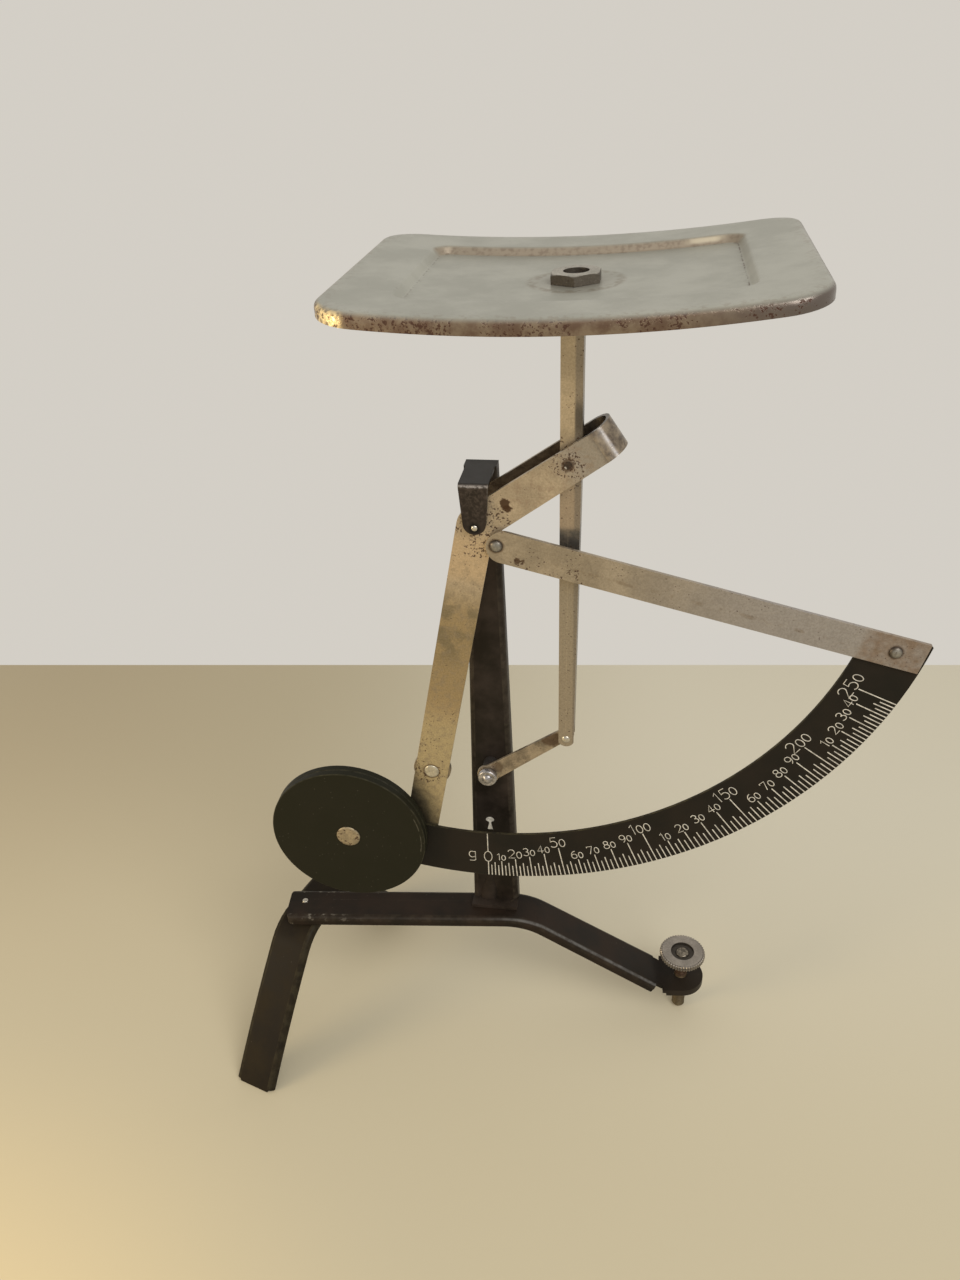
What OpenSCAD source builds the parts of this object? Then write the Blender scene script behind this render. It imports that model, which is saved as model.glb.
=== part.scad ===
// Letter balance with a quadrant dial: a swinging lever carries the dial, its weights and the pan stem.
// The lever parts are drawn about the main pivot: X right, Y away from the viewer, Z up.
// The foot bar and its screw are drawn about the post's axis, with heights above the surface.

/* [Main pivot] */
// Diameter of the main pivot pin
pivot_pin_d = 1.6; // [1.2:0.1:2.4]
// Diameter of the pin's head behind the post
pivot_head_d = 3.2; // [2.6:0.1:4]
// Height of the pin's rounded front end
pivot_dome_h = 0.25; // [0.1:0.05:0.5]
// Radial clearance of every pin that turns in its hole
run_fit = 0.05; // [0.02:0.01:0.1]
// Side clearance between the lever strap and the post, front and back
side_gap = 0.5; // [0.4:0.1:0.9]

/* [Foot bar] */
// Turn of the foot bar from square to the post
base_turn = 6; // [0:0.5:10]
// Height of the foot bar's level top
bar_top_h = 48.5; // [46:0.5:54]
// Width of the foot bar
bar_w = 13; // [11:0.5:16]
// Depth of the foot bar's turned-down flanges
bar_d = 3.3; // [2.6:0.1:3.8]
// Sheet thickness of the foot bar
bar_gauge = 1.3; // [1:0.1:1.6]
// Outer bend radius of the foot bar's long edges
bar_bend_r = 1.7; // [1.65:0.05:2.2]
// Width of the bar where its slope ends
bar_toe_w = 14.6; // [12:0.1:15]
// Distance that the slope's end lies further back than the level bar
bar_toe_back = 1.1; // [0:0.1:2]
// Distance of the bar's centre line behind the lever's front face
bar_y = 8.8; // [8:0.1:10]
// Length of the level bar to the left of the post's axis
bar_left = 68.5; // [66:0.5:80]
// Place where the level bar and its slope would meet
bar_knee_x = 11.5; // [10:0.5:16]
// Radius of the bend between the level bar and its slope
bar_knee_r = 24; // [18:1:30]
// Angle of the slope below level
bar_slope = 35.9; // [33:0.1:38]
// End of the flanges on the slope
bar_flange_x = 55.4; // [50:0.1:56]
// Place where the slope meets the level tab
bar_toe_x = 57.5; // [56:0.5:60]
// Radius of the tab's round end
tab_r = 7.6; // [7:0.1:9]
// Depth of the tab's turned-down rim
tab_rim = 2.5; // [2:0.1:4.2]
// Corner radius of the bar's left end
bar_corner_r = 2.5; // [1.5:0.5:4]

/* [Levelling screw] */
// Place of the screw's axis to the right of the post's axis
screw_x = 64.3; // [62:0.1:68]
// Diameter of the screw's shank
screw_d = 4.4; // [4:0.1:5]
// Height of the knurled head's top above the surface
head_top_h = 26.2; // [24:0.1:29]
// Diameter of the knurled head
head_d = 15.2; // [13:0.2:17]
// Thickness of the knurled head
head_t = 2; // [1.5:0.1:3]
// Number of knurls round the head
head_knurls = 50; // [30:1:60]
// Depth of the knurls
knurl_depth = 0.35; // [0.2:0.05:0.5]
// Diameter of the hollow in the head's top
head_hollow_d = 7.6; // [6.8:0.1:9]
// Depth of the hollow in the head's top
head_hollow = 0.8; // [0.4:0.1:1]
// Height of the shank's riveted end above the hollow's floor
shank_rivet = 0.6; // [0.4:0.1:0.8]
// Diameter of the hub under the head
hub_d = 6.4; // [5.6:0.1:8]
// Length of the hub under the head
hub_l = 1.6; // [1:0.1:3]
// Chamfer of the shank's tip
tip_chamfer = 0.7; // [0.3:0.1:1]

/* [Cross leg] */
// Place of the leg's rivet to the left of the post's axis
leg_x = 63.2; // [58:0.1:63.5]
// Place of the leg's rivet behind the lever's front face
leg_y = 9.9; // [8.6:0.1:10.2]
// Turn of the leg from square to the foot bar
leg_turn = 23.9; // [0:0.1:40]
// Width of the leg
leg_w = 14.3; // [12:0.1:16]
// Depth of the leg's turned-down flanges
leg_d = 2.4; // [2.2:0.1:3.6]
// Sheet thickness of the leg
leg_gauge = 1.2; // [1:0.1:1.5]
// Outer bend radius of the leg's long edges
leg_bend_r = 1.8; // [1.6:0.05:2.2]
// Length of the level stretch behind the leg's rivet
crown_run = 12; // [9:0.5:13]
// Radius of the leg's crown
crown_r = 15.7; // [8:0.1:18]
// Slope of the leg where its crown ends
leg_slope = 50.8; // [42:0.1:52]
// Slope of the leg at its foot
foot_slope = 56.3; // [54:0.1:62]
// Height of the foot's turned-down lip
foot_lip = 1.3; // [1.2:0.1:4]
// Diameter of the leg's rivet
leg_rivet_d = 2; // [1.6:0.1:3]
// Diameter of the leg rivet's lower head
leg_rivet_head_d = 4.4; // [4:0.1:6]
// Diameter of the leg rivet's hammered end above the bar
leg_rivet_end_d = 1.2; // [0.8:0.1:1.8]
// Diameter of the friction washer between bar and leg
leg_washer_d = 8; // [6:0.1:9]
// Thickness of that washer, which keeps the leg clear of the bar's flanges
leg_washer_t = 2.2; // [2.1:0.1:3]

/* [Post] */
// Half width of the post at its head
post_top_w = 4.3; // [4:0.1:5.5]
// Half width of the post at its foot
post_foot_w = 7.5; // [6.5:0.1:9]
// Depth of the post's channel
post_d = 4.2; // [3.6:0.1:5]
// Sheet thickness of the post
post_gauge = 1.2; // [1:0.1:1.5]
// Outer bend radius of the post's long edges
post_bend_r = 1.6; // [1.55:0.05:2]
// Height of the head plate's top above the main pivot
head_h = 11.9; // [11:0.1:14]
// Thickness of the head plate and its tongue
tongue_t = 1; // [0.8:0.1:1.4]
// Half width of the tongue at the head plate
tongue_w = 3.85; // [3.4:0.05:4.2]
// Radius of the tongue's round end
tongue_r = 3; // [2.6:0.1:3.6]
// Distance of the tongue's end below the main pivot
tongue_drop = 1.8; // [1.6:0.1:2.6]
// Radius of the bend between head plate and tongue
tongue_bend_r = 1.2; // [1.05:0.05:1.5]
// Length of the post's foot tab in front of its web
post_foot_l = 3.8; // [3:0.1:5]
// Diameter of the two rivets in the foot tab
foot_rivet_d = 2; // [1.6:0.1:2.4]
// Distance between the two rivets in the foot tab
foot_rivet_pitch = 9; // [7:0.1:10]

/* [Lever strap] */
// Width of the strap's folded arm at the main pivot
strap_w = 9.6; // [8:0.1:11]
// Width of the folded arm at its fold
strap_end_w = 8.3; // [7:0.1:9.6]
// Sheet thickness of the strap
strap_t = 1; // [0.8:0.1:1.2]
// Angle of the folded arm above level
strap_angle = 34; // [30:0.5:38]
// Distance between the strap's two outer faces
strap_depth = 10.5; // [9.4:0.1:11]
// Reach of the fold beyond the stem's pin
fold_beyond = 14; // [11:0.5:20]
// Width of the strap's long arm
arm_w = 9.8; // [8:0.1:11]
// Angle of the long arm left of straight down
arm_angle = 11.3; // [9:0.1:14]
// Length of the long arm beyond its rivet in the dial
arm_beyond = 1.55; // [1.5:0.05:4]

/* [Stem pivots] */
// Distance of the stem's pin from the main pivot
crank_r = 29; // [27:0.5:31]
// Angle of the stem's pin above level
crank_angle = 35.9; // [34:0.1:36.5]
// Diameter of the stem's pin
stem_pin_d = 2; // [1.6:0.1:2.4]
// Diameter of the pin's head behind the strap
stem_pin_head_d = 2.8; // [2.4:0.1:3.6]
// Length of the pin in front of the strap
stem_pin_proud = 0.2; // [0.1:0.05:0.4]
// Distance of the lower link's pivot below the main pivot
link_drop = 84.6; // [84:0.1:90]
// Diameter of the lower link's pivot stud
link_stud_d = 2; // [1.6:0.1:2.4]
// Diameter of the stud's domed head
link_head_d = 3.2; // [2.8:0.1:3.8]
// Height of the stud's domed head
link_head_h = 0.9; // [0.6:0.1:1.2]
// Diameter of the spacer between link and post
link_spacer_d = 4.4; // [3.6:0.1:5]
// Diameter of the collar under the stud's head
link_washer_d = 5.6; // [4:0.1:6]
// Thickness of that collar
link_washer_t = 2; // [0.4:0.1:2.2]
// Diameter of the link's eye at the post
link_eye_d = 6.5; // [5.6:0.1:7.5]
// Diameter of the link's end at the stem
link_end_d = 4.3; // [4:0.1:4.6]
// Width of the link beside its eye
link_w = 5.4; // [4.4:0.1:5.5]
// Width of the link beside its end
link_end_w = 4; // [3.4:0.1:4]
// Thickness of the link
link_t = 1; // [0.8:0.1:1.2]
// Diameter of the pin that joins link and stem
link_pin_d = 1.6; // [1.2:0.1:1.8]
// Diameter of that pin's domed head
link_pin_head_d = 2.4; // [2:0.1:2.8]
// Height of that pin's domed head
link_pin_head_h = 0.4; // [0.2:0.1:0.5]
// Radial clearance of that pin in the link
link_pin_gap = 0.1; // [0.08:0.01:0.1]

/* [Pan stem] */
// Depth of the stem's channel, front to back
stem_d = 6.2; // [5.6:0.1:6.8]
// Sheet thickness of the stem
stem_gauge = 0.75; // [0.6:0.1:1]
// Distance of the stem's open edge left of its pins
stem_left = 2.15; // [1.9:0.05:2.6]
// Distance of the stem's web right of its upper pin
stem_right_top = 3.25; // [3:0.05:4]
// Distance of the stem's web right of its lower pin
stem_right_foot = 2.15; // [2.1:0.05:2.8]
// Length of the stem below its lower pin
stem_foot = 2.4; // [2.3:0.1:3.5]
// Height of the stem's top above the main pivot
stem_top = 57.25; // [50:0.05:60]
// Diameter of the threaded stud through the pan
stud_d = 6; // [5:0.1:7]
// Diameter of the stud's collar
collar_d = 12; // [10:0.2:14]
// Thickness of the stud's collar
collar_t = 1.6; // [1:0.1:2]
// Length of the stud's square root inside the stem
root_l = 9; // [6:0.5:12]
// Depth of the stud's end below the nut's top
stud_below = 0.9; // [0.6:0.1:1.4]
// Distance of the stud's axis right of the stem's pins
stud_x = 1.05; // [0.8:0.05:1.2]

/* [Pan] */
// Length of the pan
pan_l = 104.6; // [90:0.1:125]
// Depth of the pan at its middle
pan_w = 82.6; // [70:0.1:100]
// Distance that the long sides draw in at the corners
pan_bow = 1.4; // [0:0.1:3]
// Corner radius of the pan
pan_corner_r = 10; // [6:0.5:14]
// Sheet thickness of the pan
pan_gauge = 0.55; // [0.5:0.05:1]
// Depth of the pan's turned-down rim
pan_rim = 3.4; // [3:0.1:6]
// Rise of the pan's left and right ends above its middle
pan_rise = 3.4; // [2:0.1:5]
// Tilt of the pan, right side up
pan_tilt = 1.95; // [0:0.05:3]
// Distance of the pan's middle behind the stem's axis
pan_back = 1.75; // [0:0.05:2.5]
// Length of the pan's sunk panel
panel_l = 74.7; // [60:0.5:80]
// Width of the pan's sunk panel
panel_w = 52.6; // [40:0.5:60]
// Depth of the sunk panel
panel_d = 1.9; // [1:0.1:2.5]
// Corner radius of the sunk panel
panel_corner_r = 4; // [2:0.5:8]
// Distance of the panel's middle right of the pan's middle
panel_x = 0.5; // [0:0.1:1]
// Width across the pan nut's flats
nut_af = 11; // [10:0.5:12]
// Height of the pan nut
nut_h = 2.3; // [2:0.1:3]
// Angle of the chamfer at the nut's top corners
nut_chamfer = 30; // [15:5:45]

/* [Dial] */
// Outer radius of the dial
dial_r = 120; // [118:0.5:124]
// Width of the dial's band
dial_band = 17.1; // [15:0.05:19]
// Thickness of the dial
dial_t = 0.8; // [0.6:0.05:0.8]
// Distance of the dial's end below the radial bar's upper edge
dial_inset = 1; // [0.5:0.1:2]

/* [Radial bar] */
// Width of the radial bar
rbar_w = 8.9; // [8:0.1:11]
// Thickness of the radial bar
rbar_t = 1; // [0.8:0.1:1]
// Angle of the radial bar below level
rbar_angle = 14.3; // [12:0.1:16]
// Place of its left rivet to the right of the main pivot
rbar_x = 5.45; // [5.4:0.05:6]
// Place of its left rivet below the main pivot
rbar_z = 4.6; // [4.5:0.05:5.2]
// Length of the bar left of its left rivet
rbar_left = 2.6; // [2.4:0.1:3.4]
// Length of the bar right of its right rivet
rbar_right = 7.6; // [7:0.1:9]
// Diameter of the packing washer between bar and strap
bar_washer_d = 5; // [4:0.1:5.2]
// Diameter of the rivets' shanks
rivet_d = 2; // [1.6:0.1:2.4]
// Diameter of the rivets' domed heads
rivet_head_d = 3.5; // [3:0.1:4]
// Height of the rivets' domed heads
rivet_head_h = 0.9; // [0.6:0.1:1.2]
// Height of the rivets' flat tails
rivet_tail_h = 0.5; // [0.3:0.1:0.6]

/* [Weights] */
// Clearance between the weights at their lowest and the foot bar
weight_clear = 6.2; // [3:0.1:14]
// Distance of the weights' centre inside the dial's outer edge
weight_inset = 7.3; // [5:0.1:9]
// Angle of the weights' centre left of straight down
weight_angle = 22.25; // [21:0.05:24]
// Diameter of the two weights
weight_d = 48.2; // [46:0.2:52]
// Thickness of each weight
weight_t = 2.25; // [1.8:0.05:2.4]
// Diameter of the weights' rivet
weight_rivet_d = 4; // [3:0.1:5]
// Diameter of its flat head
weight_head_d = 7.4; // [6:0.1:9]
// Thickness of its flat head
weight_head_t = 0.5; // [0.4:0.1:0.8]
// Distance of the trim weight from the main pivot
trim_r = 82.4; // [80:0.1:84]
// Diameter of the trim weight
trim_d = 11.2; // [10.4:0.1:12.4]
// Thickness of the trim weight
trim_t = 1.6; // [1:0.1:1.8]
// Diameter of the trim weight's rivet head
trim_head_d = 4.4; // [3.6:0.1:5]
// Height of the trim weight's rivet head
trim_head_h = 0.4; // [0.3:0.05:0.6]

/* [Hidden] */
$fn = 48;
// Overrun of each cut past the face it opens
cut = 1;
// Points along each bend of a pressed edge
bend_n = 4;
// Points along each bend of a bar or leg
path_n = 10;
// Points along the pan's long side, round its corners and round the link's ends
side_n = 12;
corner_n = 8;
round_n = 24;
// Facets of the largest circles
large_fn = 360;
nickel = "#b7ab8e";
lacquer = "#2c2621";
steel = "#8f8a80";

// The weights clear the foot bar when they hang straight down
weight_r = dial_r - weight_inset;
pivot_h = bar_top_h + weight_clear + weight_r + weight_d / 2;

// Front faces, from the viewer backwards
tongue_y = -side_gap - tongue_t;
rear_y = strap_depth - strap_t;
web_y = strap_depth + side_gap;
post_back = web_y + post_d;
stem_y = strap_depth / 2;
stem_front = stem_y - stem_d / 2;
stem_back = stem_y + stem_d / 2;
link_front = stem_y - link_t / 2;
link_back = stem_y + link_t / 2;
rbar_front = -dial_t - rbar_t;
rear_weight_y = -dial_t - weight_t;
front_weight_y = rear_weight_y - weight_t;

// Pins of the parallelogram: stem pin, link pivot and link pin
pin_x = crank_r * cos(crank_angle);
pin_z = crank_r * sin(crank_angle);
link_z = -link_drop;
low_z = link_z + pin_z;

// Outlines that follow from the sizes above
dial_in = dial_r - dial_band;
// The dial's rivet lies in the middle of the band, on the long arm
dial_rivet_r = dial_r - dial_band / 2;
fold_r = strap_depth / 2;
strap_reach = crank_r + fold_beyond;
fold_s = strap_reach - fold_r;
arm_l = dial_rivet_r + arm_beyond;
// The radial bar reaches to the middle of the dial's band, where its right rivet sits
rbar_lead = rbar_x * cos(rbar_angle) + rbar_z * sin(rbar_angle);
rbar_offset = rbar_z * cos(rbar_angle) - rbar_x * sin(rbar_angle);
rbar_pitch = sqrt(pow(dial_rivet_r, 2) - pow(rbar_offset, 2)) - rbar_lead;
rbar_end = rbar_pitch + rbar_right;
rbar_right_x = rbar_x + rbar_pitch * cos(rbar_angle);
rbar_right_z = -rbar_z - rbar_pitch * sin(rbar_angle);
stud_axis = pin_x + stud_x;
collar_top = stem_top + collar_t;
panel_z = collar_top + pan_gauge;
pan_z = panel_z + panel_d;
pan_arc_r = (pow(pan_l / 2, 2) + pow(pan_rise, 2)) / (2 * pan_rise);
// The nut seats on the left and right of the curved panel
panel_arc_r = pan_arc_r + panel_d;
nut_seat = panel_arc_r - sqrt(pow(panel_arc_r, 2) - pow(nut_af / 2, 2));
nut_top = panel_z + nut_seat + nut_h;
tab_h = bar_top_h - (bar_toe_x - bar_knee_x) * tan(bar_slope);
head_floor_h = head_top_h - head_t;
knee_x = bar_knee_x - bar_knee_r * tan(bar_slope / 2);
screw_y = bar_y + bar_toe_back;
foot_z = bar_top_h - pivot_h;
foot_rivet_y = web_y - post_foot_l / 2;

// Cross leg: its crown under the washer, then one long curve down to the lip, in front and behind
leg_gap_z = bar_top_h - bar_gauge;
leg_crown_h = leg_gap_z - leg_washer_t;
crown_u = crown_r * sin(leg_slope);
crown_z = leg_crown_h - crown_r * (1 - cos(leg_slope));
shin_r = (crown_z - foot_lip) / (cos(leg_slope) - cos(foot_slope));
leg_reach = crown_u + shin_r * (sin(foot_slope) - sin(leg_slope));
leg_back_reach = leg_reach + crown_run;

// The origin lies under the middle of the whole outline
leg_heading = leg_turn - base_turn;
leg_px = -leg_x * cos(base_turn) - leg_y * sin(base_turn);
leg_py = leg_y * cos(base_turn) - leg_x * sin(base_turn);
low_x = leg_px - leg_reach * sin(leg_heading) - leg_w / 2 * cos(leg_heading);
low_y = leg_py - leg_reach * cos(leg_heading) - leg_w / 2 * sin(leg_heading);
high_x = rbar_x + rbar_end * cos(rbar_angle) + rbar_w / 2 * sin(rbar_angle);
back_foot_y = leg_py + leg_back_reach * cos(leg_heading) + leg_w / 2 * sin(leg_heading);
high_y = max(back_foot_y, stem_y + pan_back + pan_w / 2);
pivot_x = -(low_x + high_x) / 2;
pivot_y = -(low_y + high_y) / 2;

// Places the parts that are drawn about the main pivot
module at_pivot() {
    translate([pivot_x, pivot_y, pivot_h]) children();
}

// Places the parts that are drawn about the post's axis on the surface
module at_base() {
    translate([pivot_x, pivot_y, 0]) rotate([0, 0, base_turn]) children();
}

// A plate of thickness t whose front face lies at y, from an outline in X and Z
module plate(y, t) {
    translate([0, y + t, 0]) rotate([90, 0, 0]) linear_extrude(height = t) children();
}

// A round rod along Y, from y0 to y1
module rod(d, x, z, y0, y1) {
    translate([x, y0, z]) rotate([-90, 0, 0]) cylinder(d = d, h = y1 - y0);
}

// A domed rivet head whose flat side lies at y and whose dome faces the viewer
module dome(d, h, x, z, y) {
    ball_r = (d * d / 4 + h * h) / (2 * h);
    translate([x, y, z]) rotate([90, 0, 0]) rotate_extrude()
        intersection() {
            translate([0, h - ball_r]) circle(r = ball_r);
            square([d / 2, h]);
        }
}

// Turns a part drawn along X so that it runs at an angle above level
module along(angle) {
    rotate([0, -angle, 0]) children();
}

// Points of an arc, from angle a0 to a1, in n steps
function arc(cx, cy, r, a0, a1, n) =
    [for (i = [0:n]) [cx + r * cos(a0 + (a1 - a0) * i / n), cy + r * sin(a0 + (a1 - a0) * i / n)]];

// Section of a pressed channel, outside then inside: across, and height below the web's top
function channel_out(w, d, r) = concat(
    [[-w / 2, -d]], arc(-w / 2 + r, -r, r, 180, 90, bend_n),
    arc(w / 2 - r, -r, r, 90, 0, bend_n), [[w / 2, -d]]);
function channel_in(w, d, r, g) = concat(
    [[-w / 2 + g, -d]], arc(-w / 2 + r, -r, r - g, 180, 90, bend_n),
    arc(w / 2 - r, -r, r - g, 90, 0, bend_n), [[w / 2 - g, -d]]);

// Solid skin over rings of points; each ring is an outer row and an inner row of equal length
module pressed(outer, inner) {
    m = len(outer);
    k = len(outer[0]);
    points = concat([for (row = outer) each row], [for (row = inner) each row]);
    base = m * k;
    faces = concat(
        [for (i = [0:m - 2], j = [0:k - 2]) each [
            [i * k + j, i * k + j + 1, (i + 1) * k + j + 1],
            [i * k + j, (i + 1) * k + j + 1, (i + 1) * k + j],
            [base + i * k + j, base + (i + 1) * k + j + 1, base + i * k + j + 1],
            [base + i * k + j, base + (i + 1) * k + j, base + (i + 1) * k + j + 1]]],
        [for (i = [0:m - 2], j = [0, k - 1]) each j == 0
            ? [[i * k, (i + 1) * k, base + (i + 1) * k], [i * k, base + (i + 1) * k, base + i * k]]
            : [[i * k + j, base + (i + 1) * k + j, (i + 1) * k + j],
               [i * k + j, base + i * k + j, base + (i + 1) * k + j]]],
        [for (j = [0:k - 2]) each [[j, base + j, base + j + 1], [j, base + j + 1, j + 1]]],
        [for (j = [0:k - 2]) let (a = (m - 1) * k + j, b = base + a) each
            [[a, b + 1, b], [a, a + 1, b + 1]]]);
    polyhedron(points, faces, convexity = 10);
}

// Pressed channel along a path; each station is [x, y, z, slope below level, width]
module channel_along(stations, d, r, g) {
    pressed([for (s = stations) path_ring(channel_out(s[4], d, r), s)],
        [for (s = stations) path_ring(channel_in(s[4], d, r, g), s)]);
}
function path_ring(rows, s) =
    [for (q = rows) [s[0] + q[1] * sin(s[3]), s[1] + q[0], s[2] + q[1] * cos(s[3])]];

// Stations of the foot bar, which widens and draws back from its knee to its tab
function slope_share(x) = max(0, (x - knee_x) / (bar_toe_x - knee_x));
function bar_station(x, z, a) = [x, bar_y + bar_toe_back * slope_share(x), z, a,
    bar_w + (bar_toe_w - bar_w) * slope_share(x)];
function knee() = [for (i = [0:path_n]) let (a = bar_slope * i / path_n)
    bar_station(knee_x + bar_knee_r * sin(a), bar_top_h - bar_knee_r * (1 - cos(a)), a)];
function slope_z(x) = bar_top_h - (x - bar_knee_x) * tan(bar_slope);

// Outline of the tab: a square root and a round end
module tab_outline(grow) {
    translate([screw_x, screw_y]) circle(r = tab_r + grow);
    translate([bar_toe_x - grow, screw_y - tab_r - grow])
        square([screw_x - bar_toe_x + grow, 2 * (tab_r + grow)]);
}

module bar_shell() {
    channel_along(concat([bar_station(-bar_left, bar_top_h, 0)], knee(),
        [bar_station(bar_flange_x, slope_z(bar_flange_x), bar_slope)]), bar_d, bar_bend_r, bar_gauge);
}

module base_bar() color(lacquer) at_base() {
    difference() {
        union() {
            difference() {
                bar_shell();
                bar_corner_cuts();
            }
            plate(screw_y - bar_toe_w / 2 + bar_bend_r, bar_toe_w - 2 * bar_bend_r) slope_web();
            translate([0, 0, tab_h - tab_rim]) linear_extrude(height = tab_rim) difference() {
                tab_outline(0);
                tab_outline(-bar_gauge);
                translate([bar_toe_x - cut, screw_y - tab_r - cut])
                    square([bar_gauge + cut, 2 * (tab_r + cut)]);
            }
            translate([0, 0, tab_h - bar_gauge]) linear_extrude(height = bar_gauge) tab_outline(0);
        }
        translate([screw_x, screw_y, tab_h - tab_rim - cut])
            cylinder(d = screw_d + 2 * run_fit, h = tab_rim + 2 * cut);
        translate([-leg_x, leg_y, bar_top_h - bar_d - cut]) cylinder(d = leg_rivet_d, h = bar_d + 2 * cut);
        rotate([0, 0, -base_turn]) foot_rivet_holes();
    }
}

// Rounds the corners of the bar's left end
module bar_corner_cuts() {
    for (side = [-1, 1])
        translate([-bar_left, bar_y + side * bar_w / 2, bar_top_h - bar_d - cut])
            linear_extrude(height = bar_d + 2 * cut) difference() {
                square(2 * bar_corner_r, center = true);
                translate([bar_corner_r, -side * bar_corner_r]) circle(r = bar_corner_r);
            }
}

// Side view of the sloping web and its bend into the tab
module slope_web() {
    polygon([
        [bar_flange_x - cut, slope_z(bar_flange_x - cut)],
        [bar_toe_x, tab_h],
        [bar_toe_x + cut, tab_h],
        [bar_toe_x + cut, tab_h - bar_gauge],
        [bar_toe_x - bar_gauge * tan(bar_slope / 2), tab_h - bar_gauge],
        [bar_flange_x - cut, slope_z(bar_flange_x - cut) - bar_gauge / cos(bar_slope)]]);
}

module foot_rivet_holes() {
    for (side = [-1, 1]) translate([side * foot_rivet_pitch / 2, foot_rivet_y, bar_top_h - bar_d - cut])
        cylinder(d = foot_rivet_d, h = bar_d + post_gauge + 2 * cut);
}

// Half of the leg's top line, from the crown out to one foot, as [distance, height, slope]
function shin(n) = [for (i = [1:n]) let (a = leg_slope + (foot_slope - leg_slope) * i / n)
    [crown_u + shin_r * (sin(a) - sin(leg_slope)), crown_z - shin_r * (cos(leg_slope) - cos(a)), a]];
function crown(n) = [for (i = [0:n]) let (a = leg_slope * i / n)
    [crown_r * sin(a), leg_crown_h - crown_r * (1 - cos(a)), a]];
function half_leg() = concat(crown(path_n / 2), shin(path_n / 2));
function whole_leg() = let (h = half_leg()) concat(
    [for (i = [len(h) - 1:-1:0]) [-crown_run - h[i][0], 0, h[i][1], -h[i][2], leg_w]],
    [for (q = h) [q[0], 0, q[1], q[2], leg_w]]);

module cross_leg() color(lacquer) at_base() translate([-leg_x, leg_y, 0]) rotate([0, 0, -90 - leg_turn])
    difference() {
        union() {
            channel_along(whole_leg(), leg_d, leg_bend_r, leg_gauge);
            for (x = [leg_gauge / 2 - leg_back_reach, leg_reach - leg_gauge / 2])
                translate([x, 0, foot_lip / 2])
                    cube([leg_gauge, leg_w - 2 * leg_bend_r, foot_lip], center = true);
        }
        translate([-leg_back_reach - leg_w, -leg_w, -leg_w])
            cube([leg_back_reach + leg_reach + 2 * leg_w, 2 * leg_w, leg_w]);
        translate([0, 0, leg_crown_h - crown_r]) cylinder(d = leg_rivet_d + 2 * run_fit, h = crown_r + cut);
    }

module leg_washer() color(steel) at_base() translate([-leg_x, leg_y, leg_crown_h])
    difference() {
        cylinder(d = leg_washer_d, h = leg_washer_t);
        translate([0, 0, -cut]) cylinder(d = leg_rivet_d, h = leg_washer_t + 2 * cut);
    }

// The lower head hangs clear of the crown, which curves down on both sides of the rivet
module leg_rivet() color("#a8a49a") at_base() translate([-leg_x, leg_y, 0]) {
    under_r = crown_r - leg_gauge;
    under_z = leg_crown_h - crown_r + sqrt(pow(under_r, 2) - pow(leg_rivet_head_d / 2, 2));
    low = under_z - 2 * run_fit;
    translate([0, 0, low - rivet_tail_h]) cylinder(d = leg_rivet_head_d, h = rivet_tail_h);
    translate([0, 0, bar_top_h]) {
        cylinder(d1 = leg_rivet_d, d2 = leg_rivet_end_d, h = rivet_tail_h);
        mirror([0, 0, 1]) cylinder(d = leg_rivet_d, h = bar_top_h - low + rivet_tail_h / 2);
    }
}

module levelling_screw() color("#6d6341") at_base() translate([screw_x, screw_y, 0]) {
    cylinder(d1 = screw_d - 2 * tip_chamfer, d2 = screw_d, h = tip_chamfer);
    translate([0, 0, tip_chamfer])
        cylinder(d = screw_d, h = head_floor_h + head_t - head_hollow + shank_rivet - tip_chamfer);
}

// Outline of the knurled head: one tooth for each knurl
module knurl_outline() {
    low_r = head_d / 2 - knurl_depth;
    polygon([for (i = [0:head_knurls - 1]) each let (a = 360 / head_knurls)
        [[head_d / 2 * cos(a * i), head_d / 2 * sin(a * i)],
         [low_r * cos(a * (i + 0.5)), low_r * sin(a * (i + 0.5))]]]);
}

module knurled_head() color("#9b958a") at_base() translate([screw_x, screw_y, 0]) difference() {
    union() {
        translate([0, 0, head_floor_h]) linear_extrude(height = head_t) knurl_outline();
        translate([0, 0, head_floor_h - hub_l]) cylinder(d = hub_d, h = hub_l);
    }
    translate([0, 0, head_top_h - head_hollow]) cylinder(d = head_hollow_d, h = head_hollow + cut);
    translate([0, 0, head_floor_h - hub_l - cut])
        cylinder(d = screw_d + 2 * run_fit, h = head_t + hub_l + 2 * cut);
}

// Half width of the post at height z above the main pivot
function post_half(z) = post_foot_w + (post_top_w - post_foot_w) * (z - foot_z) / (head_h - foot_z);

// Section of the post at height z: the web faces the viewer
function post_ring(rows, z) = [for (q = rows) [q[0], web_y - q[1], z]];

module tongue_outline() {
    translate([0, tongue_r - tongue_drop]) circle(r = tongue_r);
    polygon([[-tongue_w, head_h], [tongue_w, head_h],
        [tongue_r, tongue_r - tongue_drop], [-tongue_r, tongue_r - tongue_drop]]);
}

// Side view of the head plate, bent down into the tongue
module head_side() {
    difference() {
        translate([tongue_y, -tongue_drop]) square([post_back - tongue_y, head_h + tongue_drop]);
        translate([tongue_y + tongue_t, -tongue_drop - cut])
            square([post_back - tongue_y, head_h + tongue_drop - tongue_t + cut]);
        translate([tongue_y - cut, head_h - tongue_bend_r])
            difference() {
                square(tongue_bend_r + cut);
                translate([tongue_bend_r + cut, 0]) circle(r = tongue_bend_r);
            }
    }
}

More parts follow.
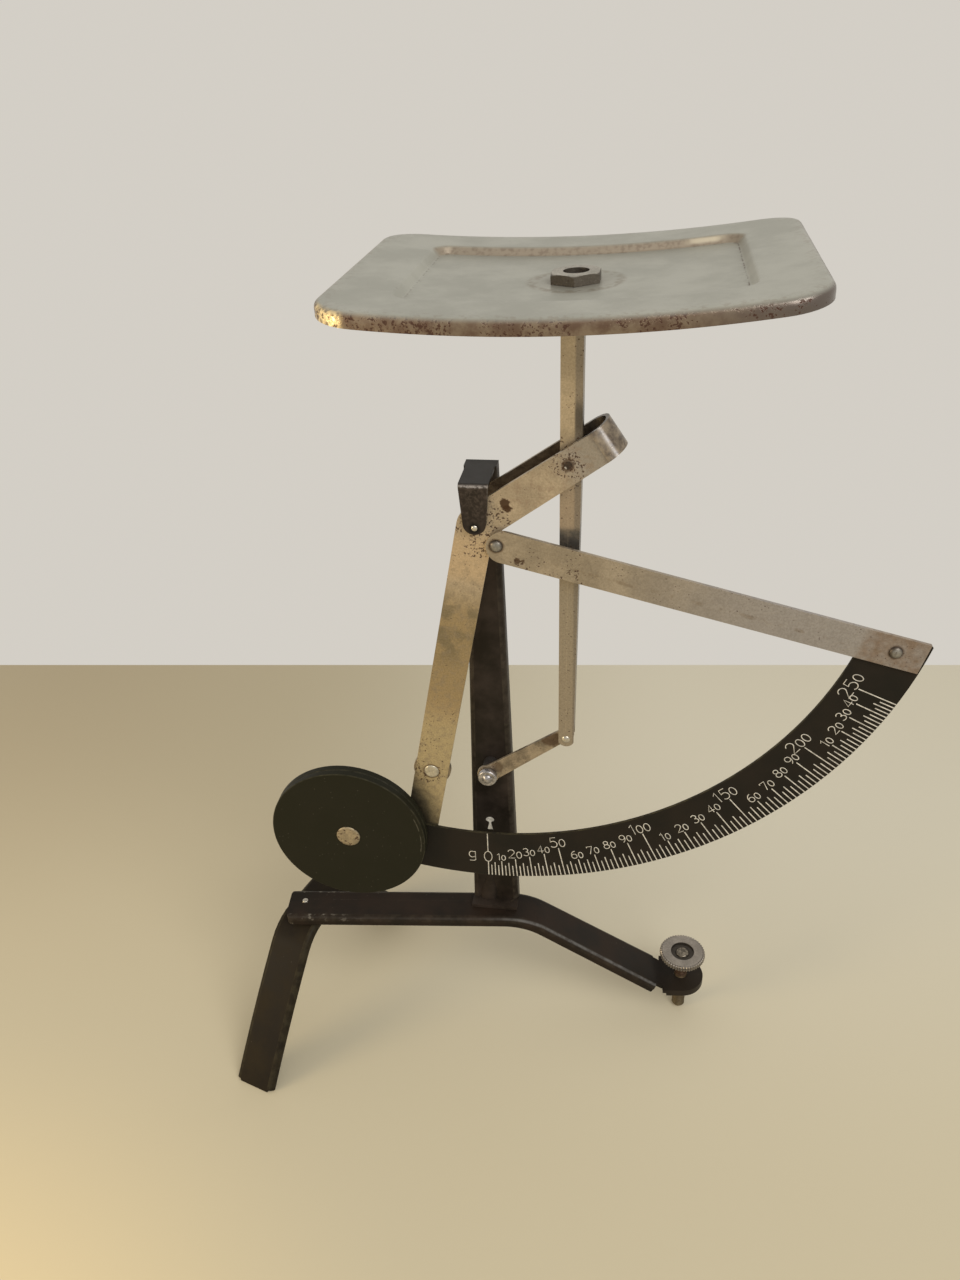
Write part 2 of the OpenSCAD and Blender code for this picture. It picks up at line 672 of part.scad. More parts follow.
module post() color(lacquer) at_pivot() difference() {
    union() {
        intersection() {
            rotate([90, 0, 90]) translate([0, 0, -tongue_w - cut])
                linear_extrude(height = 2 * (tongue_w + cut)) head_side();
            union() {
                plate(tongue_y - cut, web_y - tongue_y + cut) tongue_outline();
                plate(web_y, post_d) translate([-post_top_w, -tongue_drop])
                    square([2 * post_top_w, head_h + tongue_drop]);
            }
        }
        pressed(
            [for (z = [head_h - tongue_t, foot_z])
                post_ring(channel_out(2 * post_half(z), post_d, post_bend_r), z)],
            [for (z = [head_h - tongue_t, foot_z])
                post_ring(channel_in(2 * post_half(z), post_d, post_bend_r, post_gauge), z)]);
        translate([-post_foot_w, web_y - post_foot_l, foot_z])
            cube([2 * post_foot_w, post_foot_l + post_gauge, post_gauge]);
    }
    rod(pivot_pin_d, 0, 0, tongue_y - cut, post_back);
    rod(link_stud_d, 0, link_z, web_y - cut, post_back);
    translate([0, 0, -pivot_h]) foot_rivet_holes();
}

module post_foot_rivets() color(lacquer) at_pivot() {
    for (side = [-1, 1]) translate([side * foot_rivet_pitch / 2, foot_rivet_y, 0]) {
        translate([0, 0, foot_z - bar_gauge]) cylinder(d = foot_rivet_d, h = bar_gauge + post_gauge);
        translate([0, 0, foot_z - bar_gauge - rivet_tail_h]) cylinder(d = rivet_head_d, h = rivet_tail_h);
    }
}

module main_pivot_pin() color("#b8b4aa") at_pivot() {
    rod(pivot_pin_d, 0, 0, tongue_y, web_y + post_gauge);
    dome(pivot_pin_d, pivot_dome_h, 0, 0, tongue_y);
    rod(pivot_head_d, 0, 0, web_y + post_gauge, web_y + post_gauge + rivet_tail_h);
}

// The folded arm: front strip, fold and rear strip, drawn along X
module fold_side() {
    difference() {
        union() {
            translate([-strap_w / 2, 0]) square([fold_s + strap_w / 2, strap_depth]);
            translate([fold_s, fold_r]) circle(r = fold_r);
        }
        translate([-strap_w / 2 - cut, strap_t])
            square([fold_s + strap_w / 2 + cut, strap_depth - 2 * strap_t]);
        translate([fold_s, fold_r]) circle(r = fold_r - strap_t);
    }
}

module strap_holes() {
    rod(pivot_pin_d + 2 * run_fit, 0, 0, -cut, strap_depth + cut);
    rod(stem_pin_d, pin_x, pin_z, -cut, strap_depth + cut);
    rod(rivet_d, rbar_x, -rbar_z, -cut, fold_r);
    rod(rivet_d, -trim_r * sin(arm_angle), -trim_r * cos(arm_angle), -cut, fold_r);
    rod(rivet_d, -dial_rivet_r * sin(arm_angle), -dial_rivet_r * cos(arm_angle), -cut, fold_r);
}

module lever_strap() color(nickel) at_pivot() difference() {
    union() {
        along(strap_angle) intersection() {
            translate([0, 0, -strap_w / 2]) linear_extrude(height = strap_w) fold_side();
            plate(-cut, strap_depth + 2 * cut) {
                circle(d = strap_w);
                polygon([[0, -strap_w / 2], [strap_reach, strap_w / 2 - strap_end_w],
                    [strap_reach, strap_w / 2], [0, strap_w / 2]]);
            }
        }
        plate(0, strap_t) rotate(-90 - arm_angle) {
            circle(d = arm_w);
            translate([0, -arm_w / 2]) square([arm_l, arm_w]);
        }
    }
    strap_holes();
}

// The radial bar lies on the dial, and on a packing washer of the dial's thickness
module radial_bar() color(nickel) at_pivot() difference() {
    translate([rbar_x, 0, -rbar_z]) along(-rbar_angle) plate(rbar_front, rbar_t) {
        translate([rbar_w / 2 - rbar_left, 0]) circle(d = rbar_w);
        translate([rbar_w / 2 - rbar_left, -rbar_w / 2])
            square([rbar_end - rbar_w / 2 + rbar_left, rbar_w]);
    }
    rod(rivet_d, rbar_x, -rbar_z, rbar_front - cut, cut);
    rod(rivet_d, rbar_right_x, rbar_right_z, rbar_front - cut, cut);
}

module bar_washer() color(steel) at_pivot() difference() {
    rod(bar_washer_d, rbar_x, -rbar_z, -dial_t, 0);
    rod(rivet_d, rbar_x, -rbar_z, -dial_t - cut, cut);
}

module bar_strap_rivet() color("#a39c8a") at_pivot() {
    dome(rivet_head_d, rivet_head_h, rbar_x, -rbar_z, rbar_front);
    rod(rivet_d, rbar_x, -rbar_z, rbar_front, strap_t);
    rod(rivet_head_d, rbar_x, -rbar_z, strap_t, strap_t + rivet_tail_h);
}

module bar_dial_rivet() color("#a39c8a") at_pivot() {
    dome(rivet_head_d, rivet_head_h, rbar_right_x, rbar_right_z, rbar_front);
    rod(rivet_d, rbar_right_x, rbar_right_z, rbar_front, 0);
    rod(rivet_head_d, rbar_right_x, rbar_right_z, 0, rivet_tail_h);
}

// Outline of the dial: a band from behind the weights to just below the radial bar's upper edge
module dial_outline() {
    intersection() {
        difference() {
            circle(r = dial_r, $fn = large_fn);
            circle(r = dial_in, $fn = large_fn);
        }
        translate([rbar_x, -rbar_z]) rotate(-rbar_angle)
            translate([-dial_r, rbar_w / 2 - dial_inset - 2 * dial_r]) square([3 * dial_r, 2 * dial_r]);
        rotate(-90 - weight_angle) translate([-2 * dial_r, 0]) square([4 * dial_r, 2 * dial_r]);
    }
    translate([-dial_rivet_r * sin(weight_angle), -dial_rivet_r * cos(weight_angle)])
        circle(r = dial_band / 2);
}

module dial_plate() color("#1f1d1a") at_pivot() difference() {
    plate(-dial_t, dial_t) dial_outline();
    rod(rivet_d, rbar_right_x, rbar_right_z, -dial_t - cut, cut);
    rod(rivet_d, -dial_rivet_r * sin(arm_angle), -dial_rivet_r * cos(arm_angle), -dial_t - cut, cut);
    rod(weight_rivet_d, -weight_r * sin(weight_angle), -weight_r * cos(weight_angle), -dial_t - cut, cut);
}

module dial_arm_rivet() color(steel) at_pivot() {
    x = -dial_rivet_r * sin(arm_angle);
    z = -dial_rivet_r * cos(arm_angle);
    rod(rivet_d, x, z, -dial_t, strap_t);
    rod(rivet_head_d, x, z, strap_t, strap_t + rivet_tail_h);
}

module weight_disc(y) {
    x = -weight_r * sin(weight_angle);
    z = -weight_r * cos(weight_angle);
    difference() {
        rod(weight_d, x, z, y, y + weight_t);
        rod(weight_rivet_d, x, z, y - cut, y + weight_t + cut);
    }
}

module front_weight() color("#1c1b17") at_pivot() weight_disc(front_weight_y);

module rear_weight() color("#1c1b17") at_pivot() weight_disc(rear_weight_y);

module weight_rivet() color("#b5a98c") at_pivot() {
    x = -weight_r * sin(weight_angle);
    z = -weight_r * cos(weight_angle);
    rod(weight_head_d, x, z, front_weight_y - weight_head_t, front_weight_y);
    rod(weight_rivet_d, x, z, front_weight_y, 0);
    rod(weight_head_d, x, z, 0, weight_head_t);
}

module trim_weight() color(nickel) at_pivot() {
    x = -trim_r * sin(arm_angle);
    z = -trim_r * cos(arm_angle);
    difference() {
        rod(trim_d, x, z, strap_t, strap_t + trim_t);
        rod(rivet_d, x, z, strap_t - cut, strap_t + trim_t + cut);
    }
}

module trim_rivet() color("#9d9788") at_pivot() {
    x = -trim_r * sin(arm_angle);
    z = -trim_r * cos(arm_angle);
    rod(trim_head_d, x, z, -trim_head_h, 0);
    rod(rivet_d, x, z, 0, strap_t + trim_t);
    rod(trim_head_d, x, z, strap_t + trim_t, strap_t + trim_t + rivet_tail_h);
}

module stem_pin() color("#4a4138") at_pivot() {
    rod(stem_pin_d, pin_x, pin_z, -stem_pin_proud, strap_depth);
    rod(stem_pin_head_d, pin_x, pin_z, strap_depth, strap_depth + rivet_tail_h);
}

// Side view of the stem's cheeks, seen from the front
module cheek_outline() {
    polygon([[-stem_left, stem_top - pin_z], [stem_right_top, stem_top - pin_z], [stem_right_top, 0],
        [stem_right_foot, low_z - pin_z], [-stem_left, low_z - pin_z]]);
    intersection() {
        translate([0, low_z - pin_z]) circle(r = stem_foot);
        translate([-stem_left, low_z - pin_z - stem_foot])
            square([stem_left + stem_right_foot, 2 * stem_foot]);
    }
}

// The stem's web seen from the front, along its right edge
module web_outline() {
    polygon([[stem_right_top - stem_gauge, stem_top - pin_z], [stem_right_top, stem_top - pin_z],
        [stem_right_top, 0], [stem_right_foot, low_z - pin_z + stem_foot],
        [stem_right_foot - stem_gauge, low_z - pin_z + stem_foot], [stem_right_top - stem_gauge, 0]]);
}

module pan_stem() color("#aaa595") at_pivot() difference() {
    translate([pin_x, 0, pin_z]) {
        plate(stem_front, stem_gauge) cheek_outline();
        plate(stem_back - stem_gauge, stem_gauge) cheek_outline();
        plate(stem_front, stem_d) web_outline();
    }
    rod(stem_pin_d + 2 * run_fit, pin_x, pin_z, stem_front - cut, stem_back + cut);
    rod(link_pin_d, pin_x, low_z, stem_front - cut, stem_back + cut);
}

// Places what leans with the pan; its origin lies on the panel's floor, at the stud's axis
module on_panel() {
    translate([stud_axis, stem_y, panel_z]) along(pan_tilt) children();
}

// The collar's top is dressed to the pan's lean
module stem_stud() color("#6b6354") at_pivot() {
    root_w = stem_left + stem_right_top - stem_gauge;
    translate([pin_x - stem_left, stem_front + stem_gauge, stem_top - root_l])
        cube([root_w, stem_d - 2 * stem_gauge, root_l]);
    difference() {
        translate([stud_axis, stem_y, stem_top]) cylinder(d = collar_d, h = 2 * collar_t);
        on_panel() translate([-collar_d, -collar_d, -pan_gauge])
            cube([2 * collar_d, 2 * collar_d, 2 * collar_t]);
    }
    translate([stud_axis, stem_y, stem_top]) cylinder(d = stud_d, h = nut_top - stud_below - stem_top);
}

// Rounded outline with bowed long sides: half length a, half width b, corner radius r
function bow_side(a, b, bow, r) = [for (i = [0:side_n])
    let (u = -(a - r) + 2 * (a - r) * i / side_n) [u, b - bow * pow(u / a, 2)]];
function pan_points(a, b, bow, r) = let (
        top = bow_side(a, b, bow, r),
        y1 = b - bow * pow((a - r) / a, 2) - r,
        right = arc(a - r, y1, r, 90, 0, corner_n),
        lower = [for (i = [len(right) - 1:-1:0]) [right[i][0], -right[i][1]]],
        under = [for (i = [len(top) - 1:-1:0]) [top[i][0], -top[i][1]]],
        left = [for (i = [0:len(lower) - 1]) [-right[i][0], -right[i][1]]])
    concat(top, [for (i = [1:len(right) - 1]) right[i]], lower, [for (i = [1:len(under) - 1]) under[i]],
        [for (i = [1:len(left) - 1]) left[i]],
        [for (i = [len(left) - 1:-1:1]) [left[i][0], -left[i][1]]]);

// The pan's edge drawn in by g, and its panel's edge let out by g
function pan_edge(g) = pan_points(pan_l / 2 - g, pan_w / 2 - g, pan_bow, pan_corner_r - g);
function panel_edge(g) = [for (q = pan_points(panel_l / 2 + g, panel_w / 2 + g, 0, panel_corner_r + g))
    [q[0] + panel_x, q[1]]];

// What lies between two depths under the pan's curved top; its ends rise along an arc
module curved_slab(upper, lower) {
    rotate([90, 0, 0]) translate([0, 0, -pan_w]) linear_extrude(height = 2 * pan_w) intersection() {
        translate([0, pan_z + pan_arc_r]) difference() {
            circle(r = pan_arc_r + lower, $fn = large_fn);
            circle(r = pan_arc_r + upper, $fn = large_fn);
        }
        translate([-pan_l, pan_z - lower - cut]) square([2 * pan_l, pan_arc_r]);
    }
}

module column(points) {
    translate([0, 0, -pan_l]) linear_extrude(height = 3 * pan_l) polygon(points);
}

// The part of a curved slab that lies inside an outline
module curved_block(upper, lower, points) {
    intersection() {
        curved_slab(upper, lower);
        column(points);
    }
}

module pan() color("#a9a79b") at_pivot() difference() {
    on_panel() translate([0, pan_back, -panel_z]) difference() {
        curved_block(0, pan_rim, pan_edge(0));
        curved_block(-cut, panel_d, panel_edge(0));
        difference() {
            curved_block(pan_gauge, pan_rim + cut, pan_edge(pan_gauge));
            curved_block(0, panel_d + pan_gauge, panel_edge(pan_gauge));
        }
    }
    translate([stud_axis, stem_y, collar_top - cut]) cylinder(d = stud_d, h = panel_d + pan_rim);
}

module pan_nut() color("#8d877b") at_pivot() difference() {
    on_panel() translate([0, 0, nut_seat]) intersection() {
        rotate(30) cylinder(d = nut_af / cos(30), h = nut_h, $fn = 6);
        cylinder(d1 = nut_af + 2 * nut_h / tan(nut_chamfer), d2 = nut_af - 2 * cut / tan(nut_chamfer),
            h = nut_h + cut);
    }
    translate([stud_axis, stem_y, panel_z - cut]) cylinder(d = stud_d, h = nut_h + 3 * cut);
}

// The link's outline from its eye at the post to its end at the stem
module link_outline() {
    eye_turn = asin(link_w / link_eye_d);
    end_turn = 180 - asin(link_end_w / link_end_d);
    polygon(concat(arc(0, 0, link_eye_d / 2, eye_turn, 360 - eye_turn, round_n),
        arc(crank_r, 0, link_end_d / 2, -end_turn, end_turn, round_n)));
}

module lower_link() color(nickel) at_pivot() difference() {
    translate([0, 0, link_z]) along(crank_angle) plate(link_front, link_t) link_outline();
    rod(link_stud_d + 2 * run_fit, 0, link_z, link_front - cut, link_back + cut);
    rod(link_pin_d + 2 * link_pin_gap, pin_x, low_z, link_front - cut, link_back + cut);
}

module link_pin() color("#8d8778") at_pivot() {
    rod(link_pin_d, pin_x, low_z, stem_front, stem_back);
    dome(link_pin_head_d, link_pin_head_h, pin_x, low_z, stem_front);
}

module link_spacer() color(steel) at_pivot() difference() {
    rod(link_spacer_d, 0, link_z, link_back + run_fit, web_y);
    rod(link_stud_d, 0, link_z, link_back - cut, web_y + cut);
}

module link_washer() color("#d8d8d8") at_pivot() difference() {
    rod(link_washer_d, 0, link_z, link_front - run_fit - link_washer_t, link_front - run_fit);
    rod(link_stud_d, 0, link_z, link_front - cut - link_washer_t, link_front + cut);
}

module link_stud() color("#b6b2a8") at_pivot() {
    front = link_front - run_fit - link_washer_t;
    dome(link_head_d, link_head_h, 0, link_z, front);
    rod(link_stud_d, 0, link_z, front, web_y + post_gauge);
    rod(link_head_d, 0, link_z, web_y + post_gauge, web_y + post_gauge + rivet_tail_h);
}

base_bar();
cross_leg();
leg_rivet();
leg_washer();
levelling_screw();
knurled_head();
post();
post_foot_rivets();
main_pivot_pin();
lever_strap();
radial_bar();
bar_washer();
bar_strap_rivet();
bar_dial_rivet();
dial_plate();
dial_arm_rivet();
front_weight();
rear_weight();
weight_rivet();
trim_weight();
trim_rivet();
stem_pin();
pan_stem();
stem_stud();
pan();
pan_nut();
link_pin();
lower_link();
link_stud();
link_spacer();
link_washer();
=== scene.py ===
"""Letter scale: detailed pieces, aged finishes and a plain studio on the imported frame."""
import math
import random
from functools import cached_property

import bmesh
import bpy
from mathutils import Matrix, Vector


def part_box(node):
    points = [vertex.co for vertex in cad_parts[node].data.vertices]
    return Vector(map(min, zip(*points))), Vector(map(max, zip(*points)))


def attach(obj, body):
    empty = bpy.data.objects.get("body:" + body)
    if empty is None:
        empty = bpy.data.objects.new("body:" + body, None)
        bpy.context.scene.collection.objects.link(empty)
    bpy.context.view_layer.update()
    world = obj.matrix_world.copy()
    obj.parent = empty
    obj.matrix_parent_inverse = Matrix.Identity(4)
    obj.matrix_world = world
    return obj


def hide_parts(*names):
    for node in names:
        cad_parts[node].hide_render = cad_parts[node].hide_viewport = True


bl_info = {
    "name": "Letter Scale",
    "version": (1, 0, 0),
    "blender": (4, 5, 0),
    "location": "View3D > Sidebar > Letter Scale",
    "description": "Dresses a packed letter scale with its pieces, finishes and studio",
    "category": "Object",
}

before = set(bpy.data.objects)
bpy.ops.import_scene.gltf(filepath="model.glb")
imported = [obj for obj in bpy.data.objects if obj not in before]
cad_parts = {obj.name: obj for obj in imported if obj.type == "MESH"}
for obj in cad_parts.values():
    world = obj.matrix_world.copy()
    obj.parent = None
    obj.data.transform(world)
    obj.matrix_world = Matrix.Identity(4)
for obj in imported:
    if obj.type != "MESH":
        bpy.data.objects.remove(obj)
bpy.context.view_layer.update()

MM = 0.001
WELD = 1e-6
FLAT_ANGLE = 0.4
SMOOTH_ANGLE = 42
ROUNDED_ANGLE = 40

# The main pivot: x and z from its pin, y from the front face of the strap
PIVOT_LOW, PIVOT_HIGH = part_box("main_pivot_pin")
PIVOT = Vector(((PIVOT_LOW.x + PIVOT_HIGH.x) / 2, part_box("lever_strap")[0].y,
                (PIVOT_LOW.z + PIVOT_HIGH.z) / 2))

# Angles in degrees, and places in millimetres from the main pivot
ARM_ANGLE = 11.3
STRAP_ANGLE = 34.0
BAR_ANGLE = 14.3
BAR_START = (5.45, -4.6)
BAR_PITCH = 104.99
BAR_END = (BAR_START[0] + BAR_PITCH * math.cos(math.radians(BAR_ANGLE)),
           BAR_START[1] - BAR_PITCH * math.sin(math.radians(BAR_ANGLE)))
BAR_FACE = -1.8
STEM_PIN = (23.49, 17.0)
STEM_Y = 5.25
LINK_DROP = 84.6
LINK_ANGLE = 35.9
LINK_LENGTH = 29.0
LINK_Y = 4.75
TRIM_RADIUS = 82.4
WEIGHT_RADIUS = 112.7
WEIGHT_ANGLE = 22.25
WEIGHT_FACE = -5.3
DIAL_RADIUS = 120.0
DIAL_BAND = 17.1
DIAL_FACE = -0.8
POST_FACE = 11.0
BASE_TURN = 6.0

# The dial's law: the load at full swing, the lever's lean and the crank's rise
FULL_LOAD = 331.03
LEAN = math.radians(20.52)
RISE = math.radians(34.58)
LOAD_AT_ZERO = FULL_LOAD * math.sin(LEAN) / math.cos(RISE)

# How far the dial's ticks reach in; those of the tens grow towards the next fifty
TENS_TICK, TENS_GROWTH, FIFTIES_TICK = 4.8, 1.05, 11.0
FIVES_TICK, HALVES_TICK, FIRST_TICK = 5.3, 4.1, 5.6

# The pan, in millimetres; its middle stands on the stem's stud
PAN = {"half": (52.3, 41.3), "bow": 1.4, "corner": 10.0, "rim": 3.4, "gauge": 0.55,
       "panel": (37.35, 26.3), "panel_x": 0.5, "panel_corner": 4.0, "sunk": 1.9,
       "arc": 403.949, "tilt": 1.95, "back": 1.75, "hole": 3.0}
PAN_CENTRE = (24.5412, STEM_Y + PAN["back"], 59.4)


def at(x, y, z):
    """A point given in millimetres from the main pivot, in the frame's metres."""
    return PIVOT + Vector((x, y, z)) * MM


def polar(radius, degrees):
    """x and z of a place on the lever, by its angle from straight down to the right."""
    a = math.radians(degrees)
    return radius * math.sin(a), -radius * math.cos(a)


def depths(node):
    """Front and back of a node, in millimetres from the strap's face."""
    low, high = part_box(node)
    return (low.y - PIVOT.y) / MM, (high.y - PIVOT.y) / MM


# ---------------------------------------------------------------- sizes and colours

def colour(name, text, default):
    return bpy.props.FloatVectorProperty(name=name, description=text, subtype="COLOR", size=4,
                                         min=0, max=1, default=(*default, 1))


def length(name, text, default):
    return bpy.props.FloatProperty(name=name, description=text, default=default, min=0,
                                   unit="LENGTH", precision=5)


class LetterScaleFinish(bpy.types.PropertyGroup):
    lever_nickel: colour("Lever nickel", "Aged nickel of the levers", (0.47, 0.385, 0.275))
    bar_nickel: colour("Bar nickel", "Duller nickel of the radial bar", (0.37, 0.31, 0.23))
    stem_nickel: colour("Stem nickel", "Warm nickel of the pan's stem", (0.52, 0.42, 0.285))
    pan_nickel: colour("Pan nickel", "Dull nickel of the pan's top", (0.415, 0.415, 0.36))
    rust: colour("Rust", "Brown rust in pits and along rims", (0.062, 0.030, 0.014))
    lacquer: colour("Lacquer", "Black-brown lacquer of the stand", (0.0115, 0.0088, 0.0062))
    worn_lacquer: colour("Worn lacquer", "Edges where lacquer wears thin", (0.085, 0.070, 0.048))
    weight_lacquer: colour("Weight lacquer", "Olive black of the weights", (0.0135, 0.0130, 0.0074))
    dial_black: colour("Dial black", "Ground colour of the dial", (0.0118, 0.0102, 0.0076))
    ink: colour("Dial print", "Off-white print of the dial", (0.56, 0.53, 0.46))
    steel: colour("Rivet steel", "Rivets, pins and the collar", (0.50, 0.47, 0.41))
    bronze: colour("Screw", "Olive brown of the levelling screw", (0.115, 0.085, 0.042))
    knurl_nickel: colour("Head nickel", "Pinkish nickel of the knurled head", (0.30, 0.27, 0.235))


class LetterScaleSizes(bpy.types.PropertyGroup):
    edge_round: length("Edge rounding", "Rounding of the sheet metal's edges", 0.00014)
    rim_round: length("Rim rounding", "Outer radius of the pan's rolled rim", 0.0016)
    groove_round: length("Stamping radius", "Radius of the pan's stamped step", 0.0009)
    ink_width: length("Line width", "Width of the dial's printed lines", 0.00030)
    ink_thickness: length("Ink thickness", "Height of the print over the dial", 0.00004)
    small_digit: length("Small digits", "Height of the tens", 0.0030)
    large_digit: length("Large digits", "Height of the fifties and hundreds", 0.0039)
    thread_depth: length("Thread depth", "Depth of the screw's thread", 0.0003)
    thread_pitch: length("Thread pitch", "Rise of one turn of the thread", 0.0007)
    knurls: bpy.props.IntProperty(name="Knurls", description="Teeth round the head",
                                  default=50, min=12, max=120)
    seed: bpy.props.IntProperty(name="Seed", description="Seed of the random wear", default=7)


class LetterScaleStage(bpy.types.PropertyGroup):
    floor: colour("Floor", "Colour of the pale floor", (0.50, 0.442, 0.305))
    backdrop: colour("Backdrop", "Colour behind the scale", (0.655, 0.622, 0.566))
    ambient: bpy.props.FloatProperty(name="Ambient", description="Strength of the soft room light",
                                     default=0.62, min=0)
    key: bpy.props.FloatProperty(name="Window light", description="Lamp at the right", default=5.5,
                                 min=0, unit="POWER")
    warm: bpy.props.FloatProperty(name="Warm light", description="Lamp at the left", default=1.6,
                                  min=0, unit="POWER")


def settings(name):
    return getattr(bpy.context.scene, "letter_scale_" + name)


def shade(tone, factor):
    return tuple(c * factor for c in tone[:3])


# ---------------------------------------------------------------- node helpers

class Value:
    """A number that nodes work out, so that a finish can be written as a plain sum."""

    def __init__(self, tree, socket):
        self.tree, self.socket = tree, socket

    def math(self, operation, *others, **options):
        return calc(self.tree, operation, self, *others, **options)

    def __add__(self, other):
        return self.math("ADD", other)

    def __sub__(self, other):
        return self.math("SUBTRACT", other)

    def __mul__(self, other):
        return self.math("MULTIPLY", other)

    def __truediv__(self, other):
        return self.math("DIVIDE", other)

    def __rtruediv__(self, other):
        return calc(self.tree, "DIVIDE", other, self)

    def __mod__(self, other):
        return self.math("MODULO", other)

    def step(self, low, high, start=0.0, end=1.0):
        """A smooth change from start to end as the number goes from low to high."""
        inputs = {"Value": self, "From Min": low, "From Max": high, "To Min": start, "To Max": end}
        return Value(self.tree, got(self.tree, "ShaderNodeMapRange", inputs, "Result",
                                    interpolation_type="SMOOTHSTEP"))

    def within(self, low, high, soft=0.5):
        """1 where the number lies between low and high."""
        return self.step(low - soft, low + soft) * self.step(high + soft, high - soft)


def connect(tree, value, socket):
    """Links a node's output to the socket, or sets the socket to a plain value."""
    value = value.socket if isinstance(value, Value) else value
    if isinstance(value, bpy.types.NodeSocket):
        tree.links.new(value, socket)
    else:
        socket.default_value = value


def put(tree, kind, inputs=None, **options):
    """Adds a node with its options and inputs."""
    made = tree.nodes.new(kind)
    for key, value in options.items():
        setattr(made, key, value)
    for key, value in (inputs or {}).items():
        connect(tree, value, made.inputs[key])
    return made


def got(tree, kind, inputs=None, output=0, **options):
    """Adds a node and returns one of its outputs."""
    return put(tree, kind, inputs, **options).outputs[output]


def calc(tree, operation, *values, **options):
    return Value(tree, got(tree, "ShaderNodeMath", dict(enumerate(values)), operation=operation,
                           **options))


def vectors(tree, operation, first, second):
    return got(tree, "ShaderNodeVectorMath", {0: first, 1: second}, operation=operation)


def distance(tree, first, second):
    return Value(tree, got(tree, "ShaderNodeVectorMath", {0: first, 1: second}, "Value",
                           operation="DISTANCE"))


def parts(tree, vector):
    return [Value(tree, part) for part in put(tree, "ShaderNodeSeparateXYZ", {0: vector}).outputs]


def combined(tree, x=0.0, y=0.0, z=0.0):
    return got(tree, "ShaderNodeCombineXYZ", {0: x, 1: y, 2: z})


def mix(tree, factor, low, high, blend="MIX"):
    """A colour between two others, each of them a plain colour or a node's output."""
    low, high = (c if isinstance(c, bpy.types.NodeSocket) else (*c[:3], 1.0) for c in (low, high))
    return got(tree, "ShaderNodeMix", {0: factor, 6: low, 7: high}, 2, data_type="RGBA",
               blend_type=blend)


def noise(tree, vector, scale, detail=5.0, roughness=0.5):
    return Value(tree, got(tree, "ShaderNodeTexNoise", {"Vector": vector, "Scale": scale,
                                                        "Detail": detail,
                                                        "Roughness": roughness}, "Fac"))


def cells(tree, vector, scale, channel):
    """Cells of a pattern: a random number for each, and the distance from its middle."""
    found = put(tree, "ShaderNodeTexVoronoi", {"Vector": vector, "Scale": scale}).outputs
    chance = got(tree, "ShaderNodeSeparateColor", {0: found["Color"]}, channel)
    return Value(tree, chance), Value(tree, found["Distance"])


def open_group(kind, name, inputs, outputs):
    """A node group with named inputs, each given by its default or its kind of socket."""
    tree = bpy.data.node_groups.new(name, kind)
    for label, given in inputs.items():
        plain = not isinstance(given, str)
        sort = type(given).__name__.title() if plain else given
        made = tree.interface.new_socket(label, in_out="INPUT", socket_type="NodeSocket" + sort)
        if plain:
            made.default_value = given
    for label, sort in outputs.items():
        tree.interface.new_socket(label, in_out="OUTPUT", socket_type="NodeSocket" + sort)
    entry = tree.nodes.new("NodeGroupInput").outputs
    return tree, {label: Value(tree, entry[label]) for label in inputs}


def close_group(tree, **results):
    """Ends a group, with each result on the output of its name."""
    out = tree.nodes.new("NodeGroupOutput")
    for label, value in results.items():
        connect(tree, value, out.inputs[label.title()])
    return tree


# ---------------------------------------------------------------- shared shader effects

def open_effect(name, inputs, *outputs):
    return open_group("ShaderNodeTree", name, {"Vector": "Vector", **inputs},
                      dict.fromkeys(outputs, "Float"))


def tarnish_group():
    """Clouds, rust pits and fine scratches of old plated metal."""
    tree, given = open_effect("Tarnish", {"Cloud Size": 9.0, "Pit Size": 0.9, "Pits": 0.3,
                                          "Streak": 0.12},
                              "Clouds", "Grain", "Pits", "Scratches", "Height")
    vector, pit_scale = given["Vector"], 1.0 / given["Pit Size"]
    grain = noise(tree, vector, 1.9, 4.0, 0.75).step(0.34, 0.66)
    clouds = noise(tree, vector, 1.0 / given["Cloud Size"], 5.0, 0.62).step(0.36, 0.66)
    # Pits: some cells of a warped pattern, more of them in patches, and ragged specks
    warp = got(tree, "ShaderNodeTexNoise", {"Vector": vector, "Scale": 2.3, "Detail": 2.0}, "Color")
    warp = vectors(tree, "MULTIPLY", vectors(tree, "SUBTRACT", warp, (0.5,) * 3), (0.7,) * 3)
    chance, away = cells(tree, vectors(tree, "ADD", vector, warp), pit_scale, 0)
    wanted = given["Pits"] * noise(tree, vector, 0.16, 3.0).step(0.36, 0.62, 0.25, 1.6)
    pits = (wanted - chance).step(0.0, 0.08) * (chance * 0.22 + 0.2 - away).step(0.0, 0.16)
    ragged = noise(tree, vector, pit_scale * 0.8, 4.0, 0.68)
    limit = wanted.math("MINIMUM", 1.3) * -0.15 + 0.735
    specks = got(tree, "ShaderNodeMapRange", {"Value": ragged, "From Min": limit,
                                              "From Max": limit + 0.035}, "Result")
    pits = pits.math("MAXIMUM", specks)
    drawn = vectors(tree, "MULTIPLY", vector, combined(tree, given["Streak"], 3.0, 3.0))
    scratches = noise(tree, drawn, 1.4, 4.0, 0.7).step(0.57, 0.74)
    return close_group(tree, clouds=clouds, grain=grain, pits=pits, scratches=scratches,
                       height=pits * -1.0 + scratches * -0.16 + clouds * 0.1)


def mark_group():
    """A ragged round mark about a point."""
    tree, given = open_effect("Ragged Mark", {"Centre": "Vector", "Radius": 2.0, "Ragged": 1.0,
                                              "Softness": 0.5}, "Mark")
    rough = (noise(tree, given["Vector"], 0.9, 4.0) - 0.5) * given["Ragged"] * 4.0
    away = distance(tree, given["Vector"], given["Centre"]) + rough
    radius = given["Radius"]
    return close_group(tree, mark=away.step(radius - given["Softness"], radius, 1.0, 0.0))


